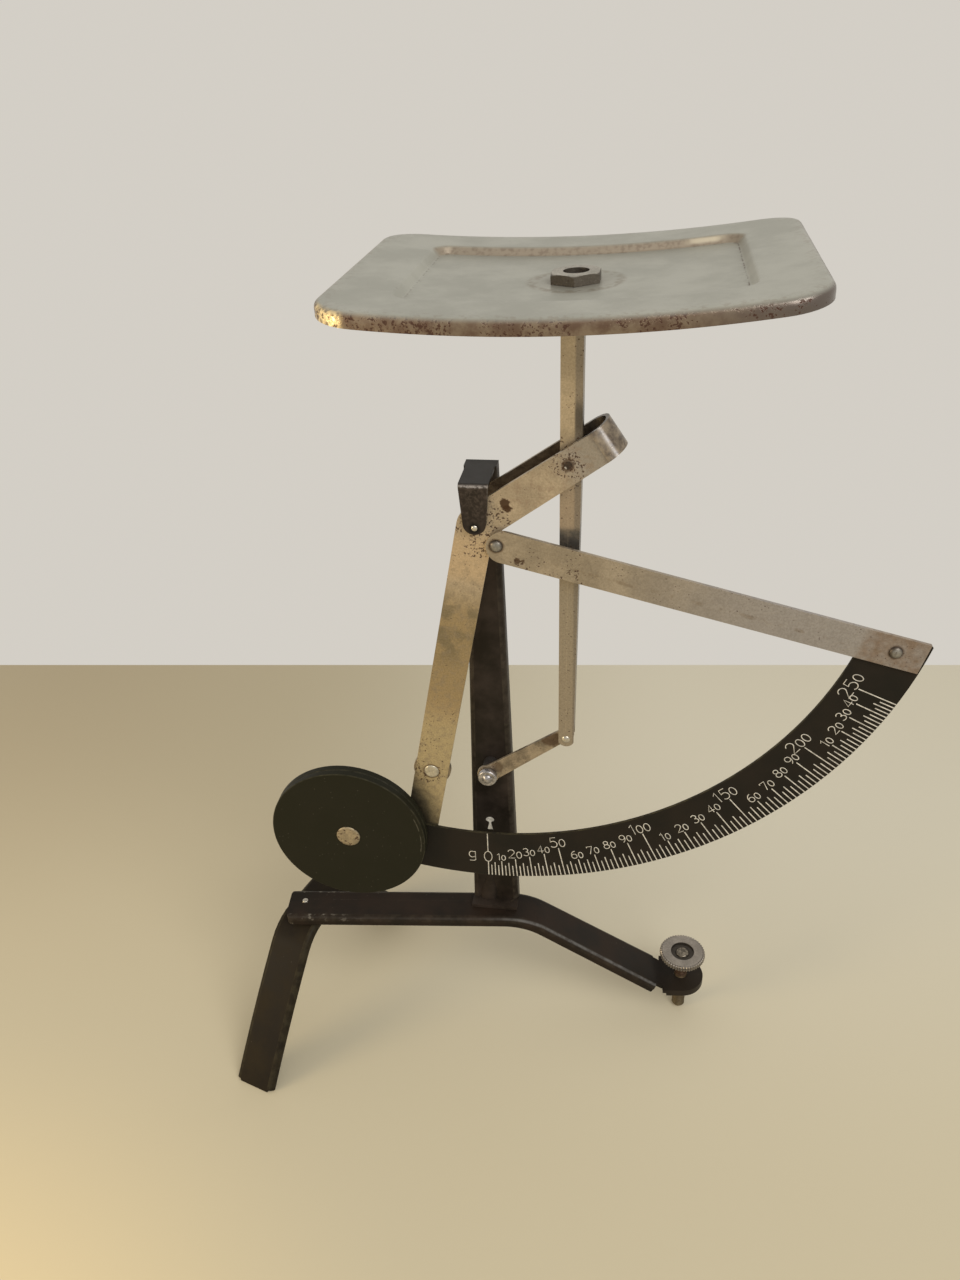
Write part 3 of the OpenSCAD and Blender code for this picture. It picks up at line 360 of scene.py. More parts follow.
def edge_group():
    """Wear on edges and bends, broken up so that it comes and goes."""
    tree, given = open_effect("Edge Wear", {"Edge": "Float", "Amount": 0.6, "Grain": 0.35}, "Wear")
    worn = noise(tree, given["Vector"], given["Grain"], 5.0, 0.7).step(0.38, 0.64, 0.12, 1.0)
    return close_group(tree, wear=(worn * given["Edge"]).math("MULTIPLY", given["Amount"],
                                                              use_clamp=True))


def lacquer_group():
    """Clouding, dust and small chips of old lacquer."""
    tree, given = open_effect("Old Lacquer", {"Cloud Size": 12.0}, "Clouds", "Dust", "Height")
    vector = given["Vector"]
    chance, away = cells(tree, vector, 0.75, 1)
    clouds = noise(tree, vector, 1.0 / given["Cloud Size"], 5.0, 0.6).step(0.34, 0.68)
    return close_group(tree, clouds=clouds, height=noise(tree, vector, 2.2, 3.0),
                       dust=chance.step(0.9, 0.93) * away.step(0.14, 0.06))


GROUPS = {}


# ---------------------------------------------------------------- materials

class Surface:
    """A finish while it is made; its coordinates are millimetres from the main pivot.

    The turned coordinates are turned by so many degrees, so that X runs along the piece.
    """

    def __init__(self, name, turn=0.0, axis="Y"):
        self.material = bpy.data.materials.new(name)
        self.material.use_nodes = True
        self.tree = self.material.node_tree
        self.shader = self.tree.nodes["Principled BSDF"].inputs
        self.places = put(self.tree, "ShaderNodeTexCoord").outputs
        self.turn, self.axis = math.radians(turn), axis + "_AXIS"
        self.tone = None

    @cached_property
    def plain(self):
        return got(self.tree, "ShaderNodeMapping",
                   {"Vector": self.places["Object"], "Location": tuple(-PIVOT / MM),
                    "Scale": (1 / MM,) * 3})

    @cached_property
    def turned(self):
        return got(self.tree, "ShaderNodeVectorRotate", {"Vector": self.plain,
                                                         "Angle": self.turn},
                   rotation_type=self.axis)

    @cached_property
    def xyz(self):
        return parts(self.tree, self.plain)

    @cached_property
    def normal(self):
        return parts(self.tree, self.places["Normal"])

    def along(self, degrees):
        """Distance from the main pivot, measured at an angle up from X."""
        x, _, z = self.xyz
        return x * math.cos(math.radians(degrees)) + z * math.sin(math.radians(degrees))

    def noise(self, scale, detail=5.0, roughness=0.5, vector=None):
        return noise(self.tree, vector or self.plain, scale, detail, roughness)

    def attribute(self, name):
        return Value(self.tree, got(self.tree, "ShaderNodeAttribute", None, "Fac",
                                    attribute_name=name))

    def effect(self, name, vector, **inputs):
        """Places a shared group, with its inputs by name, and returns its outputs by name."""
        given = {"Vector": vector, **{k.replace("_", " ").title(): v for k, v in inputs.items()}}
        made = put(self.tree, "ShaderNodeGroup", given, node_tree=GROUPS[name])
        return {out.name: Value(self.tree, out) for out in made.outputs}

    def mark(self, centre, radius, ragged, softness):
        return self.effect("mark", self.plain, centre=centre, radius=radius, ragged=ragged,
                           softness=softness)["Mark"]

    def wear(self, vector, amount):
        return self.effect("edge", vector, edge=self.attribute("edge"), amount=amount)["Wear"]

    def blended(self, factor, low, high, blend="MIX"):
        return mix(self.tree, factor, low, high, blend)

    def paint(self, factor, tone):
        """Lays a tone over what is there so far."""
        self.tone = self.blended(factor, self.tone, tone)

    def done(self, roughness, metallic=0.0, height=None, strength=0.4):
        connect(self.tree, self.tone, self.shader["Base Color"])
        connect(self.tree, roughness, self.shader["Roughness"])
        self.shader["Metallic"].default_value = metallic
        if height:
            relief = got(self.tree, "ShaderNodeBump", {"Height": height, "Strength": strength,
                                                       "Distance": 0.1 * MM})
            connect(self.tree, relief, self.shader["Normal"])
        return self.material


def plated(name, base, turn=0.0, pits=0.3, pit_size=0.9, cloud_size=9.0, marks=(), dark=0.8,
           roughness=0.36, metallic=0.65, edge=0.4, extra=None, polish=None):
    """Old nickel: clouded, pitted with rust and scratched.

    A mark is its kind, centre, radius, strength and, for a stain or gleam, its raggedness.
    """
    s, rust = Surface(name, turn), settings("finish").rust
    for kind, centre, radius, more, *_ in marks:
        if kind == "pits":
            pits = s.mark(centre, radius, 0.4, radius * 0.8) * more + pits
    aged = s.effect("tarnish", s.turned, cloud_size=cloud_size, pit_size=pit_size, pits=pits)
    s.tone = s.blended(aged["Clouds"], shade(base, dark), shade(base, 1.06))
    if extra:
        extra(s)
    grain = s.blended(aged["Grain"], (0.84, 0.83, 0.81), (1.08, 1.08, 1.08))
    s.tone = s.blended(1.0, s.tone, grain, "MULTIPLY")
    s.paint(aged["Scratches"] * 0.22, shade(base, 1.3))
    for wanted, soft, tone in (("stain", 0.35, rust), ("gleam", 0.6, (0.75, 0.72, 0.66))):
        for kind, centre, radius, strength, *ragged in marks:
            if kind == wanted:
                s.paint(s.mark(centre, radius, ragged[0], radius * soft) * strength, tone)
    s.paint(aged["Pits"] * 0.88, rust)
    s.paint(s.wear(s.turned, edge), shade(base, 1.45))
    rough = aged["Grain"] * -0.06 + (aged["Pits"] * 0.4 + (roughness + 0.05))
    return s.done(rough - polish(s) if polish else rough, metallic, aged["Height"])


def lacquered(name, base, worn_tone, turn=0.0, axis="Y", edge=0.5, roughness=0.36, extra=None,
              warm=(0.021, 0.0135, 0.0090), sheen=0.12):
    """Old stoving lacquer over steel, rubbed through along its bends."""
    s = Surface(name, turn, axis)
    old = s.effect("lacquer", s.plain, cloud_size=13.0)
    s.tone = s.blended(old["Clouds"], base, warm)
    s.paint(old["Dust"] * 0.35, (0.16, 0.14, 0.11))
    s.paint(s.wear(s.plain, edge), worn_tone)
    if extra:
        extra(s)
    s.shader["Specular IOR Level"].default_value = sheen
    return s.done(old["Clouds"] * 0.14 + roughness, 0.0, old["Height"], 0.12)


def printed(name, gain=1.0):
    """Off-white print with worn, thinner places."""
    s, ink = Surface(name), settings("finish").ink
    thin = s.noise(0.7, 5.0, 0.7)
    s.tone = s.blended(thin.step(0.36, 0.6), shade(ink, 0.62 * gain), shade(ink, gain))
    return s.done(thin * 0.2 + 0.45, 0.0, thin, 0.15)


# ---------------------------------------------------------------- wear of single pieces

def strap_wear(s):
    """Smudged long arm with a painted shadow at its lower end; folded arm with a grey bend, painted
    shade inside and a painted glint.
    """
    y = s.xyz[1]
    up, down, across = s.along(STRAP_ANGLE), s.along(270 - ARM_ANGLE), s.along(-ARM_ANGLE)
    cloud, fine = s.noise(0.16, 5.0, 0.6), s.noise(0.5, 5.0, 0.65)
    # The long arm, from the pivot down
    s.paint(down.within(3, 16, 3), (0.52, 0.40, 0.26))
    s.paint(down.step(16, 30), (0.375, 0.285, 0.165))
    s.paint(down.within(26, 58, 9), (0.315, 0.242, 0.135))
    s.paint(down.step(56, 68), (0.42, 0.345, 0.205))
    s.paint(down.within(22, 42, 5) * cloud.step(0.42, 0.6, 0.0, 0.65), (0.15, 0.13, 0.085))
    s.paint(down.step(2, 20) * fine.step(0.46, 0.64, 0.0, 0.5), (0.255, 0.21, 0.15))
    # The folded arm: duller past the stem's pin, then the grey bend and its dark end
    s.paint(up.step(24, 33, 0.0, 0.9), (0.36, 0.325, 0.285))
    bend = up.step(32.5, 33.5)
    s.paint(y.within(0.12, 1.5, 0.1) * bend * 0.85, (0.20, 0.195, 0.20))
    s.paint(up.step(36.5, 38.6) * fine.step(0.36, 0.62, 0.6, 0.95), (0.125, 0.10, 0.085))
    s.paint(up.within(10, 36, 4) * fine.step(0.46, 0.66, 0.0, 0.5), (0.30, 0.215, 0.15))
    # Shade at the long arm's slanted lower end, the fold's inside, and the bend's glint
    slanted = fine * 8.0 + (across * -1.6 + down)
    s.paint(slanted.step(86, 106, 0.0, 0.93), (0.028, 0.024, 0.017))
    inner = y.step(1.0, 1.12) * y.step(10.4, 9.4) * up.step(38, 36, 0.55, 1.0)
    s.paint(inner * fine.step(0.4, 0.62, 0.97, 0.75), (0.052, 0.036, 0.025))
    glint = y.within(0.5, 0.85, 0.26) * bend * fine.step(0.38, 0.58, 0.4, 1.0)
    s.paint(glint, (0.84, 0.84, 0.90))


def strap_polish(s):
    """The folded arm's bend is rubbed brighter than the rest."""
    return s.along(STRAP_ANGLE).step(31, 34, 0.0, 0.16)


def bar_wear(s):
    """Warm at the left, cooler towards the right, brown round the dial's rivet, and a painted
    highlight along the upper part towards the right.
    """
    along, across = s.along(-BAR_ANGLE), s.along(90 - BAR_ANGLE)
    cloud, lines = s.noise(0.3), s.noise(0.5, 4.0, vector=s.turned)
    s.paint(along.step(25, 85, 0.0, 0.9), (0.325, 0.305, 0.30))
    s.paint(along.step(101.5, 104) * cloud.step(0.32, 0.66, 0.3, 0.85), (0.22, 0.155, 0.11))
    # Painted highlight: a pale streaky band along the upper part, towards the right
    bright = across.within(1.5, 3.9, 0.4) * along.step(66, 92) * lines.step(0.48, 0.62, 0.1, 0.6)
    s.paint(bright, (0.60, 0.585, 0.56))
    lower_edge = across.within(-4.6, -3.6, 0.3) * cloud.step(0.46, 0.64, 0.0, 0.4)
    s.paint(lower_edge, (0.17, 0.12, 0.07))


def stem_wear(s):
    """Golden at the top, greyer below, with painted shade down the right side and a painted shadow
    of the radial bar across it.
    """
    x, _, z = s.xyz
    s.paint(z.step(26, 6), (0.36, 0.285, 0.205))
    s.paint(z.step(0, -22), (0.31, 0.262, 0.195))
    # Painted shade down the stem's right side
    shaded_side = (z * 0.004 + x).step(STEM_PIN[0] + 1.2, STEM_PIN[0] + 1.9, 0.0, 0.7)
    s.paint(shaded_side, (0.19, 0.165, 0.135))
    # A band of painted shadow from the radial bar, just above it
    bar_shadow_breakup = s.noise(0.5, 4.0).step(0.35, 0.6, 0.75, 0.95)
    s.paint(z.within(-8.5, -1.0, 1.0) * bar_shadow_breakup, (0.095, 0.088, 0.078))
    # Deeper painted shade on the right side, higher up
    s.paint(z.within(24, 32, 2.5) * shaded_side, (0.05, 0.045, 0.04))


def post_wear(s):
    """Broken bright line on the head's bend, worn through and with a painted highlight; grey top,
    scuffed tongue with a dark eye, and a painted highlight down the right edge.
    """
    x, y, z = s.xyz
    broken = s.noise(0.9, 5.0, 0.7)
    front = y.step(-0.6, -1.0)
    s.paint(z.step(11.5, 11.9) * 0.85, (0.040, 0.038, 0.037))
    s.paint(z.step(-1.0, 5.0) * front * broken.step(0.42, 0.66, 0.1, 0.75), (0.062, 0.048, 0.038))
    # The head's bend: lacquer worn through, with a painted highlight along it
    bend = (broken * 0.9 + z).within(11.6, 12.1, 0.2)
    s.paint(bend * front * broken.step(0.40, 0.56, 0.25, 0.9), (0.30, 0.275, 0.26))
    # Painted highlight down the rounded right edge
    s.paint(x.step(3.35, 3.8) * front * broken.step(0.36, 0.6, 0.0, 0.7), (0.17, 0.15, 0.13))
    s.paint(s.mark((0.0, -1.5, 0.0), 2.1, 0.2, 1.2) * front * 0.9, (0.006, 0.005, 0.004))


def foot_bar_wear(s):
    """Rubbed spots on the bends at the left end, and a painted highlight line along the front bend.
    """
    x, (_, ny, nz) = parts(s.tree, s.turned)[0], s.normal
    spots = s.noise(0.42, 6.0, 0.7)
    left = x.step(-38, -60) * spots.step(0.52, 0.68) * s.attribute("edge")
    s.paint(left, (0.15, 0.135, 0.11))
    s.paint(x.step(56, 62, 0.0, 0.7), (0.024, 0.0185, 0.013))
    # Painted highlight on the upward-facing faces of the front bend, strongest towards the right
    line = nz.within(0.55, 0.86, 0.1) * ny.step(-0.1, -0.4) * x.step(-6, 16, 0.1, 0.95)
    s.paint(line * spots.step(0.34, 0.6, 0.35, 1.0), (0.105, 0.10, 0.092))


def weight_wear(s):
    """A broken painted highlight along the right of the front weight's rim."""
    x, z = polar(WEIGHT_RADIUS, -WEIGHT_ANGLE)
    rim = distance(s.tree, s.plain, (x, WEIGHT_FACE, z)).within(22.75, 22.95, 0.15)
    broken = s.noise(0.3, 4.0, vector=s.turned).step(0.52, 0.6, 0.0, 0.6)
    s.paint(rim * s.xyz[0].step(x + 12, x + 19) * broken, (0.13, 0.12, 0.09))


def nut_wear(s):
    """Painted shade on the sides and chamfer, which come out darker than the top."""
    s.paint(s.normal[2].step(0.97, 0.86, 0.0, 0.92), (0.055, 0.043, 0.032))


def head_wear(s):
    """Painted shade in the hollow, between the knurls and on the flanks."""
    s.paint(s.attribute("groove") * 0.93, (0.030, 0.024, 0.018))
    s.paint(s.normal[2].step(0.7, 0.35, 0.0, 0.4), (0.042, 0.034, 0.027))


def dome_wear(x, z, radius):
    """Painted shade towards the edge of a domed rivet, a little deeper on its left."""
    def add(s):
        here = combined(s.tree, s.xyz[0], 0.0, s.xyz[2])
        away = distance(s.tree, here, (x + 0.1 * radius, 0.0, z))
        s.paint(away.step(radius * 0.45, radius * 0.95, 0.0, 0.93), (0.050, 0.036, 0.026))

    return add


def pan_finish():
    """Satin nickel top, rust-speckled rim, brown line round the stamped step.

    The pan's mesh carries a station: 0 to 2 on the rim, 2 to 3 on the flange, 3 to 5 on the
    step, then the sunk panel.
    """
    s, nickel = Surface("pan_nickel_old"), settings("finish").pan_nickel
    local = vectors(s.tree, "SUBTRACT", s.plain, PAN_CENTRE)
    x, y, _ = parts(s.tree, local)
    station = s.attribute("station")
    fine = s.effect("tarnish", local, cloud_size=16.0, pit_size=1.3, pits=0.05)
    coarse = s.effect("tarnish", local, cloud_size=3.5, pit_size=0.85, pits=0.95)
    spots, ragged = s.noise(0.8, 4.0, vector=local), s.noise(0.55, vector=local)
    s.tone = s.blended(fine["Clouds"], shade(nickel, 0.86), nickel)
    # Smudged ring round the nut
    hub = distance(s.tree, local, (0.0, -PAN["back"], 0.0))
    ring = (ragged * 2.2 + hub).within(10.2, 12.4, 0.7) * ragged.step(0.36, 0.6, 0.1, 0.65)
    s.paint(ring, (0.20, 0.165, 0.115))
    s.paint(hub.step(11.0, 6.2) * 0.35, (0.25, 0.22, 0.17))
    # The step: yellow brown at the back with a rubbed place, a thin line at its foot
    back = station.within(3.25, 4.75, 0.35) * y.step(21.5, 24.5)
    stained = s.blended(spots.step(0.44, 0.66), (0.265, 0.203, 0.142), (0.175, 0.118, 0.075))
    s.paint(back * 0.78, stained)
    rubbed = back * x.within(25.5, 33.0, 2.0) * station.within(3.3, 3.9, 0.2)
    s.paint(rubbed * 0.7, (0.62, 0.55, 0.41))
    foot = station.within(4.6, 4.97, 0.08) * y.step(22, 25, 1.0, 0.35)
    foot = foot * x.step(-30, 30, 0.45, 0.9) * spots.step(0.46, 0.58, 0.05, 0.95)
    s.paint(foot, (0.085, 0.055, 0.035))
    s.paint(fine["Pits"] * 0.75, (0.09, 0.075, 0.06))
    # The rim: brown, densely speckled with rust, with painted light at the left and greyer at the
    # right
    skirt = station.step(1.9, 1.2)
    rim = s.blended(coarse["Clouds"], (0.125, 0.078, 0.05), (0.21, 0.158, 0.105))
    rim = s.blended(x.step(-46, -20), s.blended(1.0, rim, (1.35,) * 3, "MULTIPLY"), rim)
    rim = s.blended(x.step(18, 48), rim, (0.122, 0.10, 0.086))
    s.paint(skirt, s.blended(coarse["Pits"] * 0.9, rim, (0.05, 0.019, 0.010)))
    s.paint(station.within(1.7, 2.1, 0.2) * spots.step(0.5, 0.62, 0.0, 0.25), (0.17, 0.10, 0.06))
    # A painted warm reflection at the front left corner
    warm_reflection = x.step(-43.5, -46.0) * x.step(-51.8, -50.6) * y.step(-32, -35) * skirt
    s.paint(warm_reflection * spots.step(0.44, 0.62, 1.0, 0.1), (0.88, 0.70, 0.38))
    rough = coarse["Pits"] * (skirt * 0.35) + (fine["Clouds"] * -0.07 + 0.42)
    return s.done(skirt * -0.12 + rough, 0.55, coarse["Height"] * skirt + fine["Height"], 0.3)


# ---------------------------------------------------------------- mesh helpers

def new_object(name, mesh):
    made = bpy.data.objects.new(name, mesh)
    bpy.context.scene.collection.objects.link(made)
    return made


def from_rows(name, points, faces, edges=()):
    mesh = bpy.data.meshes.new(name)
    mesh.from_pydata([tuple(p) for p in points], list(edges), list(faces))
    mesh.validate()
    return mesh


def baked(piece):
    """Turns the piece's modifiers into plain mesh and clears them."""
    bpy.context.view_layer.update()
    graph = bpy.context.evaluated_depsgraph_get()
    mesh = bpy.data.meshes.new_from_object(piece.evaluated_get(graph))
    piece.modifiers.clear()
    piece.data = mesh
    return piece


def smooth(mesh, degrees=SMOOTH_ANGLE):
    mesh.polygons.foreach_set("use_smooth", [True] * len(mesh.polygons))
    mesh.set_sharp_from_angle(angle=math.radians(degrees))


def note(mesh, name, where, values):
    """Writes a number on each point or face, for the materials to read."""
    mesh.attributes.new(name, "FLOAT", where).data.foreach_set("value", values)


def note_edges(mesh, widest):
    """Writes 1 on narrow faces, which are the rounded edges and bends, and 0 elsewhere."""
    values = []
    for face in mesh.polygons:
        points = [mesh.vertices[i].co for i in face.vertices]
        longest = max((points[i] - points[i - 1]).length for i in range(len(points)))
        values.append(1.0 if longest > 0 and face.area / longest < widest else 0.0)
    note(mesh, "edge", "FACE", values)


def worked(mesh, *steps):
    """Runs steps of mesh editing on a mesh."""
    work = bmesh.new()
    work.from_mesh(mesh)
    for step in steps:
        step(work)
    work.to_mesh(mesh)
    work.free()
    return mesh


def weld(work):
    bmesh.ops.remove_doubles(work, verts=work.verts, dist=WELD)


def face_out(work):
    bmesh.ops.recalc_face_normals(work, faces=work.faces)


def flatten(work):
    bmesh.ops.dissolve_limit(work, angle_limit=math.radians(FLAT_ANGLE), verts=work.verts,
                             edges=work.edges)


def settle(piece, body, slot, material, *nodes):
    """Gives a finished piece its finish and body, and hides the frame nodes it stands for; the slot
    is not used.
    """
    if not piece.data.polygons:
        raise RuntimeError(piece.name + " came out empty")
    piece.data.materials.clear()
    piece.data.materials.append(material)
    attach(piece, body)
    if nodes:
        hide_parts(*nodes)
    return piece


def shaped(name, points, faces, body, slot, material, *nodes, sharp=60):
    """A piece from its points and faces, which are turned outwards."""
    mesh = worked(from_rows(name, points, faces), weld, face_out)
    if sharp:
        smooth(mesh, sharp)
    return settle(new_object(name, mesh), body, slot, material, *nodes)


def softened(node, name, width, body, slot, material, segments=2, bend=0.0009):
    """A copy of a frame node whose edges are rounded and whose curves shade smoothly."""
    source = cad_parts[node].data
    mesh = from_rows(name, [v.co for v in source.vertices], [p.vertices for p in source.polygons])
    piece = new_object(name, worked(mesh, weld, flatten))
    rounding = piece.modifiers.new("Rounding", "BEVEL")
    rounding.width = width
    rounding.segments = segments
    rounding.limit_method = "ANGLE"
    rounding.angle_limit = math.radians(ROUNDED_ANGLE)
    baked(piece)
    smooth(piece.data)
    note_edges(piece.data, bend)
    piece.modifiers.new("Even Shading", "WEIGHTED_NORMAL").keep_sharp = True
    baked(piece)
    return settle(piece, body, slot, material, node)


def refinished(material, *nodes):
    """Gives frame nodes that stay as they are a finish."""
    for node in nodes:
        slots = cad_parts[node].data.materials
        slots.clear()
        slots.append(material)


def lathe(rows, centre, steps, axis="Z"):
    """Points and faces of a shape turned from (radius, height) rows about an axis."""
    points, faces = [], []
    for radius, height in rows:
        for i in range(steps):
            a = 2 * math.pi * i / steps
            u, v = radius * math.cos(a), radius * math.sin(a)
            points.append(centre + Vector((u, v, height) if axis == "Z" else (u, height, -v)) * MM)
    for j in range(0, (len(rows) - 1) * steps, steps):
        for i in range(steps):
            k = (i + 1) % steps
            faces.append((j + i, j + k, j + steps + k, j + steps + i))
    faces.append(tuple(range(steps))[::-1])
    faces.append(tuple((len(rows) - 1) * steps + i for i in range(steps)))
    return points, faces


def grown(name, tree, inputs, mesh=None):
    """A piece made by a geometry node tree, turned into plain mesh."""
    piece = new_object(name, mesh or bpy.data.meshes.new(name))
    growth = piece.modifiers.new("Growth", "NODES")
    growth.node_group = tree
    for item in tree.interface.items_tree:
        if item.item_type == "SOCKET" and item.in_out == "INPUT" and item.name in inputs:
            growth[item.identifier] = inputs[item.name]
    piece.update_tag()
    return baked(piece)


# ---------------------------------------------------------------- geometry node trees

TREES = {}


def open_tree(name, inputs):
    return open_group("GeometryNodeTree", name, {"Geometry": "Geometry", **inputs,
                                                 "Material": "Material"}, {"Geometry": "Geometry"})


def close_tree(tree, geometry, given, smooth_faces=False):
    """Ends a tree: real instances, shading and the material."""
    real = got(tree, "GeometryNodeRealizeInstances", {"Geometry": geometry})
    if smooth_faces:
        real = got(tree, "GeometryNodeSetShadeSmooth", {"Geometry": real})
    done = got(tree, "GeometryNodeSetMaterial", {"Geometry": real, "Material": given["Material"]})
    return close_group(tree, geometry=done)


def join(tree, *pieces):
    made = tree.nodes.new("GeometryNodeJoinGeometry")
    for piece in pieces:
        tree.links.new(piece, made.inputs[0])
    return made.outputs[0]


def rotation(tree, **angles):
    return got(tree, "FunctionNodeEulerToRotation", {0: combined(tree, **angles)})


def moved(tree, geometry, offset):
    return got(tree, "GeometryNodeTransform", {"Geometry": geometry, "Translation": offset})


def dial_tick_tree():
    """Ticks along the dial, spaced by the scale's own law of balance."""
    tree, g = open_tree("Dial Ticks", {
        "Ticks": 101, "Grams Per Tick": 2.5, "Full Load": 331.0, "Load At Zero": 141.0,
        "Lean": 0.358, "Rise": 0.603, "Centre": "Vector", "Outer Radius": 0.12,
        "Line Width": 0.0003, "Ink Thickness": 0.00004})
    index = Value(tree, got(tree, "GeometryNodeInputIndex"))
    load = (index * g["Grams Per Tick"] + g["Load At Zero"]) / g["Full Load"]
    top = load * g["Rise"].math("COSINE") - g["Lean"].math("SINE")
    foot = g["Lean"].math("COSINE") - load * g["Rise"].math("SINE")
    angle = top.math("ARCTAN2", foot)
    reach = (index / 4.0 % 5.0) * (TENS_GROWTH * MM) + TENS_TICK * MM
    for place, met, long in ((index % 20.0, 0.0, FIFTIES_TICK), (index % 4.0, 2.0, FIVES_TICK),
                             (index % 2.0, 1.0, HALVES_TICK), (index, 0.0, FIRST_TICK)):
        met = place.math("COMPARE", met, 0.1)
        reach = Value(tree, got(tree, "GeometryNodeSwitch", {0: met, 1: reach, 2: long * MM},
                                input_type="FLOAT"))
    radius = g["Outer Radius"] - reach / 2.0
    spoke = combined(tree, radius * angle.math("SINE"), 0.0, radius * -1.0 * angle.math("COSINE"))
    line = got(tree, "GeometryNodeMeshLine", {"Count": g["Ticks"]})
    points = got(tree, "GeometryNodeSetPosition", {
        "Geometry": line, "Position": vectors(tree, "ADD", spoke, g["Centre"])})
    ticks = got(tree, "GeometryNodeInstanceOnPoints", {
        "Points": points, "Instance": got(tree, "GeometryNodeMeshCube", {"Size": (1.0,) * 3}),
        "Rotation": rotation(tree, y=angle * -1.0),
        "Scale": combined(tree, g["Line Width"], g["Ink Thickness"], reach)})
    return close_tree(tree, ticks, g)


def ink_stroke_tree():
    """Printed lines: flat round-ended ribbons along the edges of the given mesh."""
    tree, g = open_tree("Ink Strokes", {"Line Width": 0.0003, "Flatness": 0.15, "Face": 0.0})
    ring = got(tree, "GeometryNodeCurvePrimitiveCircle", {"Resolution": 6,
                                                          "Radius": g["Line Width"] / 2.0})
    tube = got(tree, "GeometryNodeCurveToMesh", {
        "Curve": got(tree, "GeometryNodeMeshToCurve", {"Mesh": g["Geometry"]}),
        "Profile Curve": ring, "Fill Caps": True})
    x, y, z = parts(tree, got(tree, "GeometryNodeInputPosition"))
    flat = (y - g["Face"]) * g["Flatness"] + g["Face"]
    laid = got(tree, "GeometryNodeSetPosition", {"Geometry": tube,
                                                 "Position": combined(tree, x, flat, z)})
    return close_tree(tree, laid, g, True)


def knurl_tree():
    """Pointed teeth set round a rim."""
    tree, g = open_tree("Knurls", {"Teeth": 50, "Radius": 0.0076, "Depth": 0.0004,
                                   "Thickness": 0.002, "Centre": "Vector"})
    depth = g["Depth"]
    rim = got(tree, "GeometryNodeMeshCircle", {"Vertices": g["Teeth"],
                                               "Radius": g["Radius"] - depth})
    rim = got(tree, "GeometryNodeSetPosition", {"Geometry": rim, "Offset": g["Centre"]})
    turn = Value(tree, got(tree, "GeometryNodeInputIndex")) * (2 * math.pi / g["Teeth"])
    body, tip, small = g["Thickness"] * 0.72, g["Thickness"] * 0.14, depth * 0.45
    rise = body / 2.0
    tooth = [got(tree, "GeometryNodeMeshCylinder", {"Vertices": 4, "Radius": depth,
                                                    "Depth": body})]
    for top, bottom, height in ((small, depth, rise), (depth, small, (rise + tip) * -1.0)):
        cone = got(tree, "GeometryNodeMeshCone", {"Vertices": 4, "Radius Top": top,
                                                  "Radius Bottom": bottom, "Depth": tip})
        tooth.append(moved(tree, cone, combined(tree, z=height)))
    teeth = got(tree, "GeometryNodeInstanceOnPoints", {
        "Points": rim, "Instance": join(tree, *tooth), "Rotation": rotation(tree, z=turn)})
    return close_tree(tree, teeth, g)


def thread_tree():
    """A screw thread: a pointed ridge wound round a shank."""
    tree, g = open_tree("Screw Thread", {"Radius": 0.0022, "Depth": 0.0003, "Pitch": 0.0007,
                                         "Length": 0.02, "Foot": "Vector"})
    long, mean = g["Length"], g["Radius"] - g["Depth"]
    spiral = got(tree, "GeometryNodeCurveSpiral", {
        "Resolution": 24, "Rotations": long / g["Pitch"], "Start Radius": mean,
        "End Radius": mean, "Height": long})
    ridge = got(tree, "GeometryNodeCurvePrimitiveCircle", {"Resolution": 4, "Radius": g["Depth"]})
    wound = got(tree, "GeometryNodeCurveToMesh", {"Curve": spiral, "Profile Curve": ridge,
                                                  "Fill Caps": True})
    shank = got(tree, "GeometryNodeMeshCylinder", {"Vertices": 32, "Radius": mean, "Depth": long})
    shank = moved(tree, shank, combined(tree, z=long / 2.0))
    return close_tree(tree, moved(tree, join(tree, wound, shank), g["Foot"]), g, True)


# ---------------------------------------------------------------- dial figures

def arc(cx, cy, rx, ry, start, end, steps):
    """Points of an arc, angles in degrees."""
    angles = [math.radians(start + (end - start) * i / steps) for i in range(steps + 1)]
    return [(cx + rx * math.cos(a), cy + ry * math.sin(a)) for a in angles]


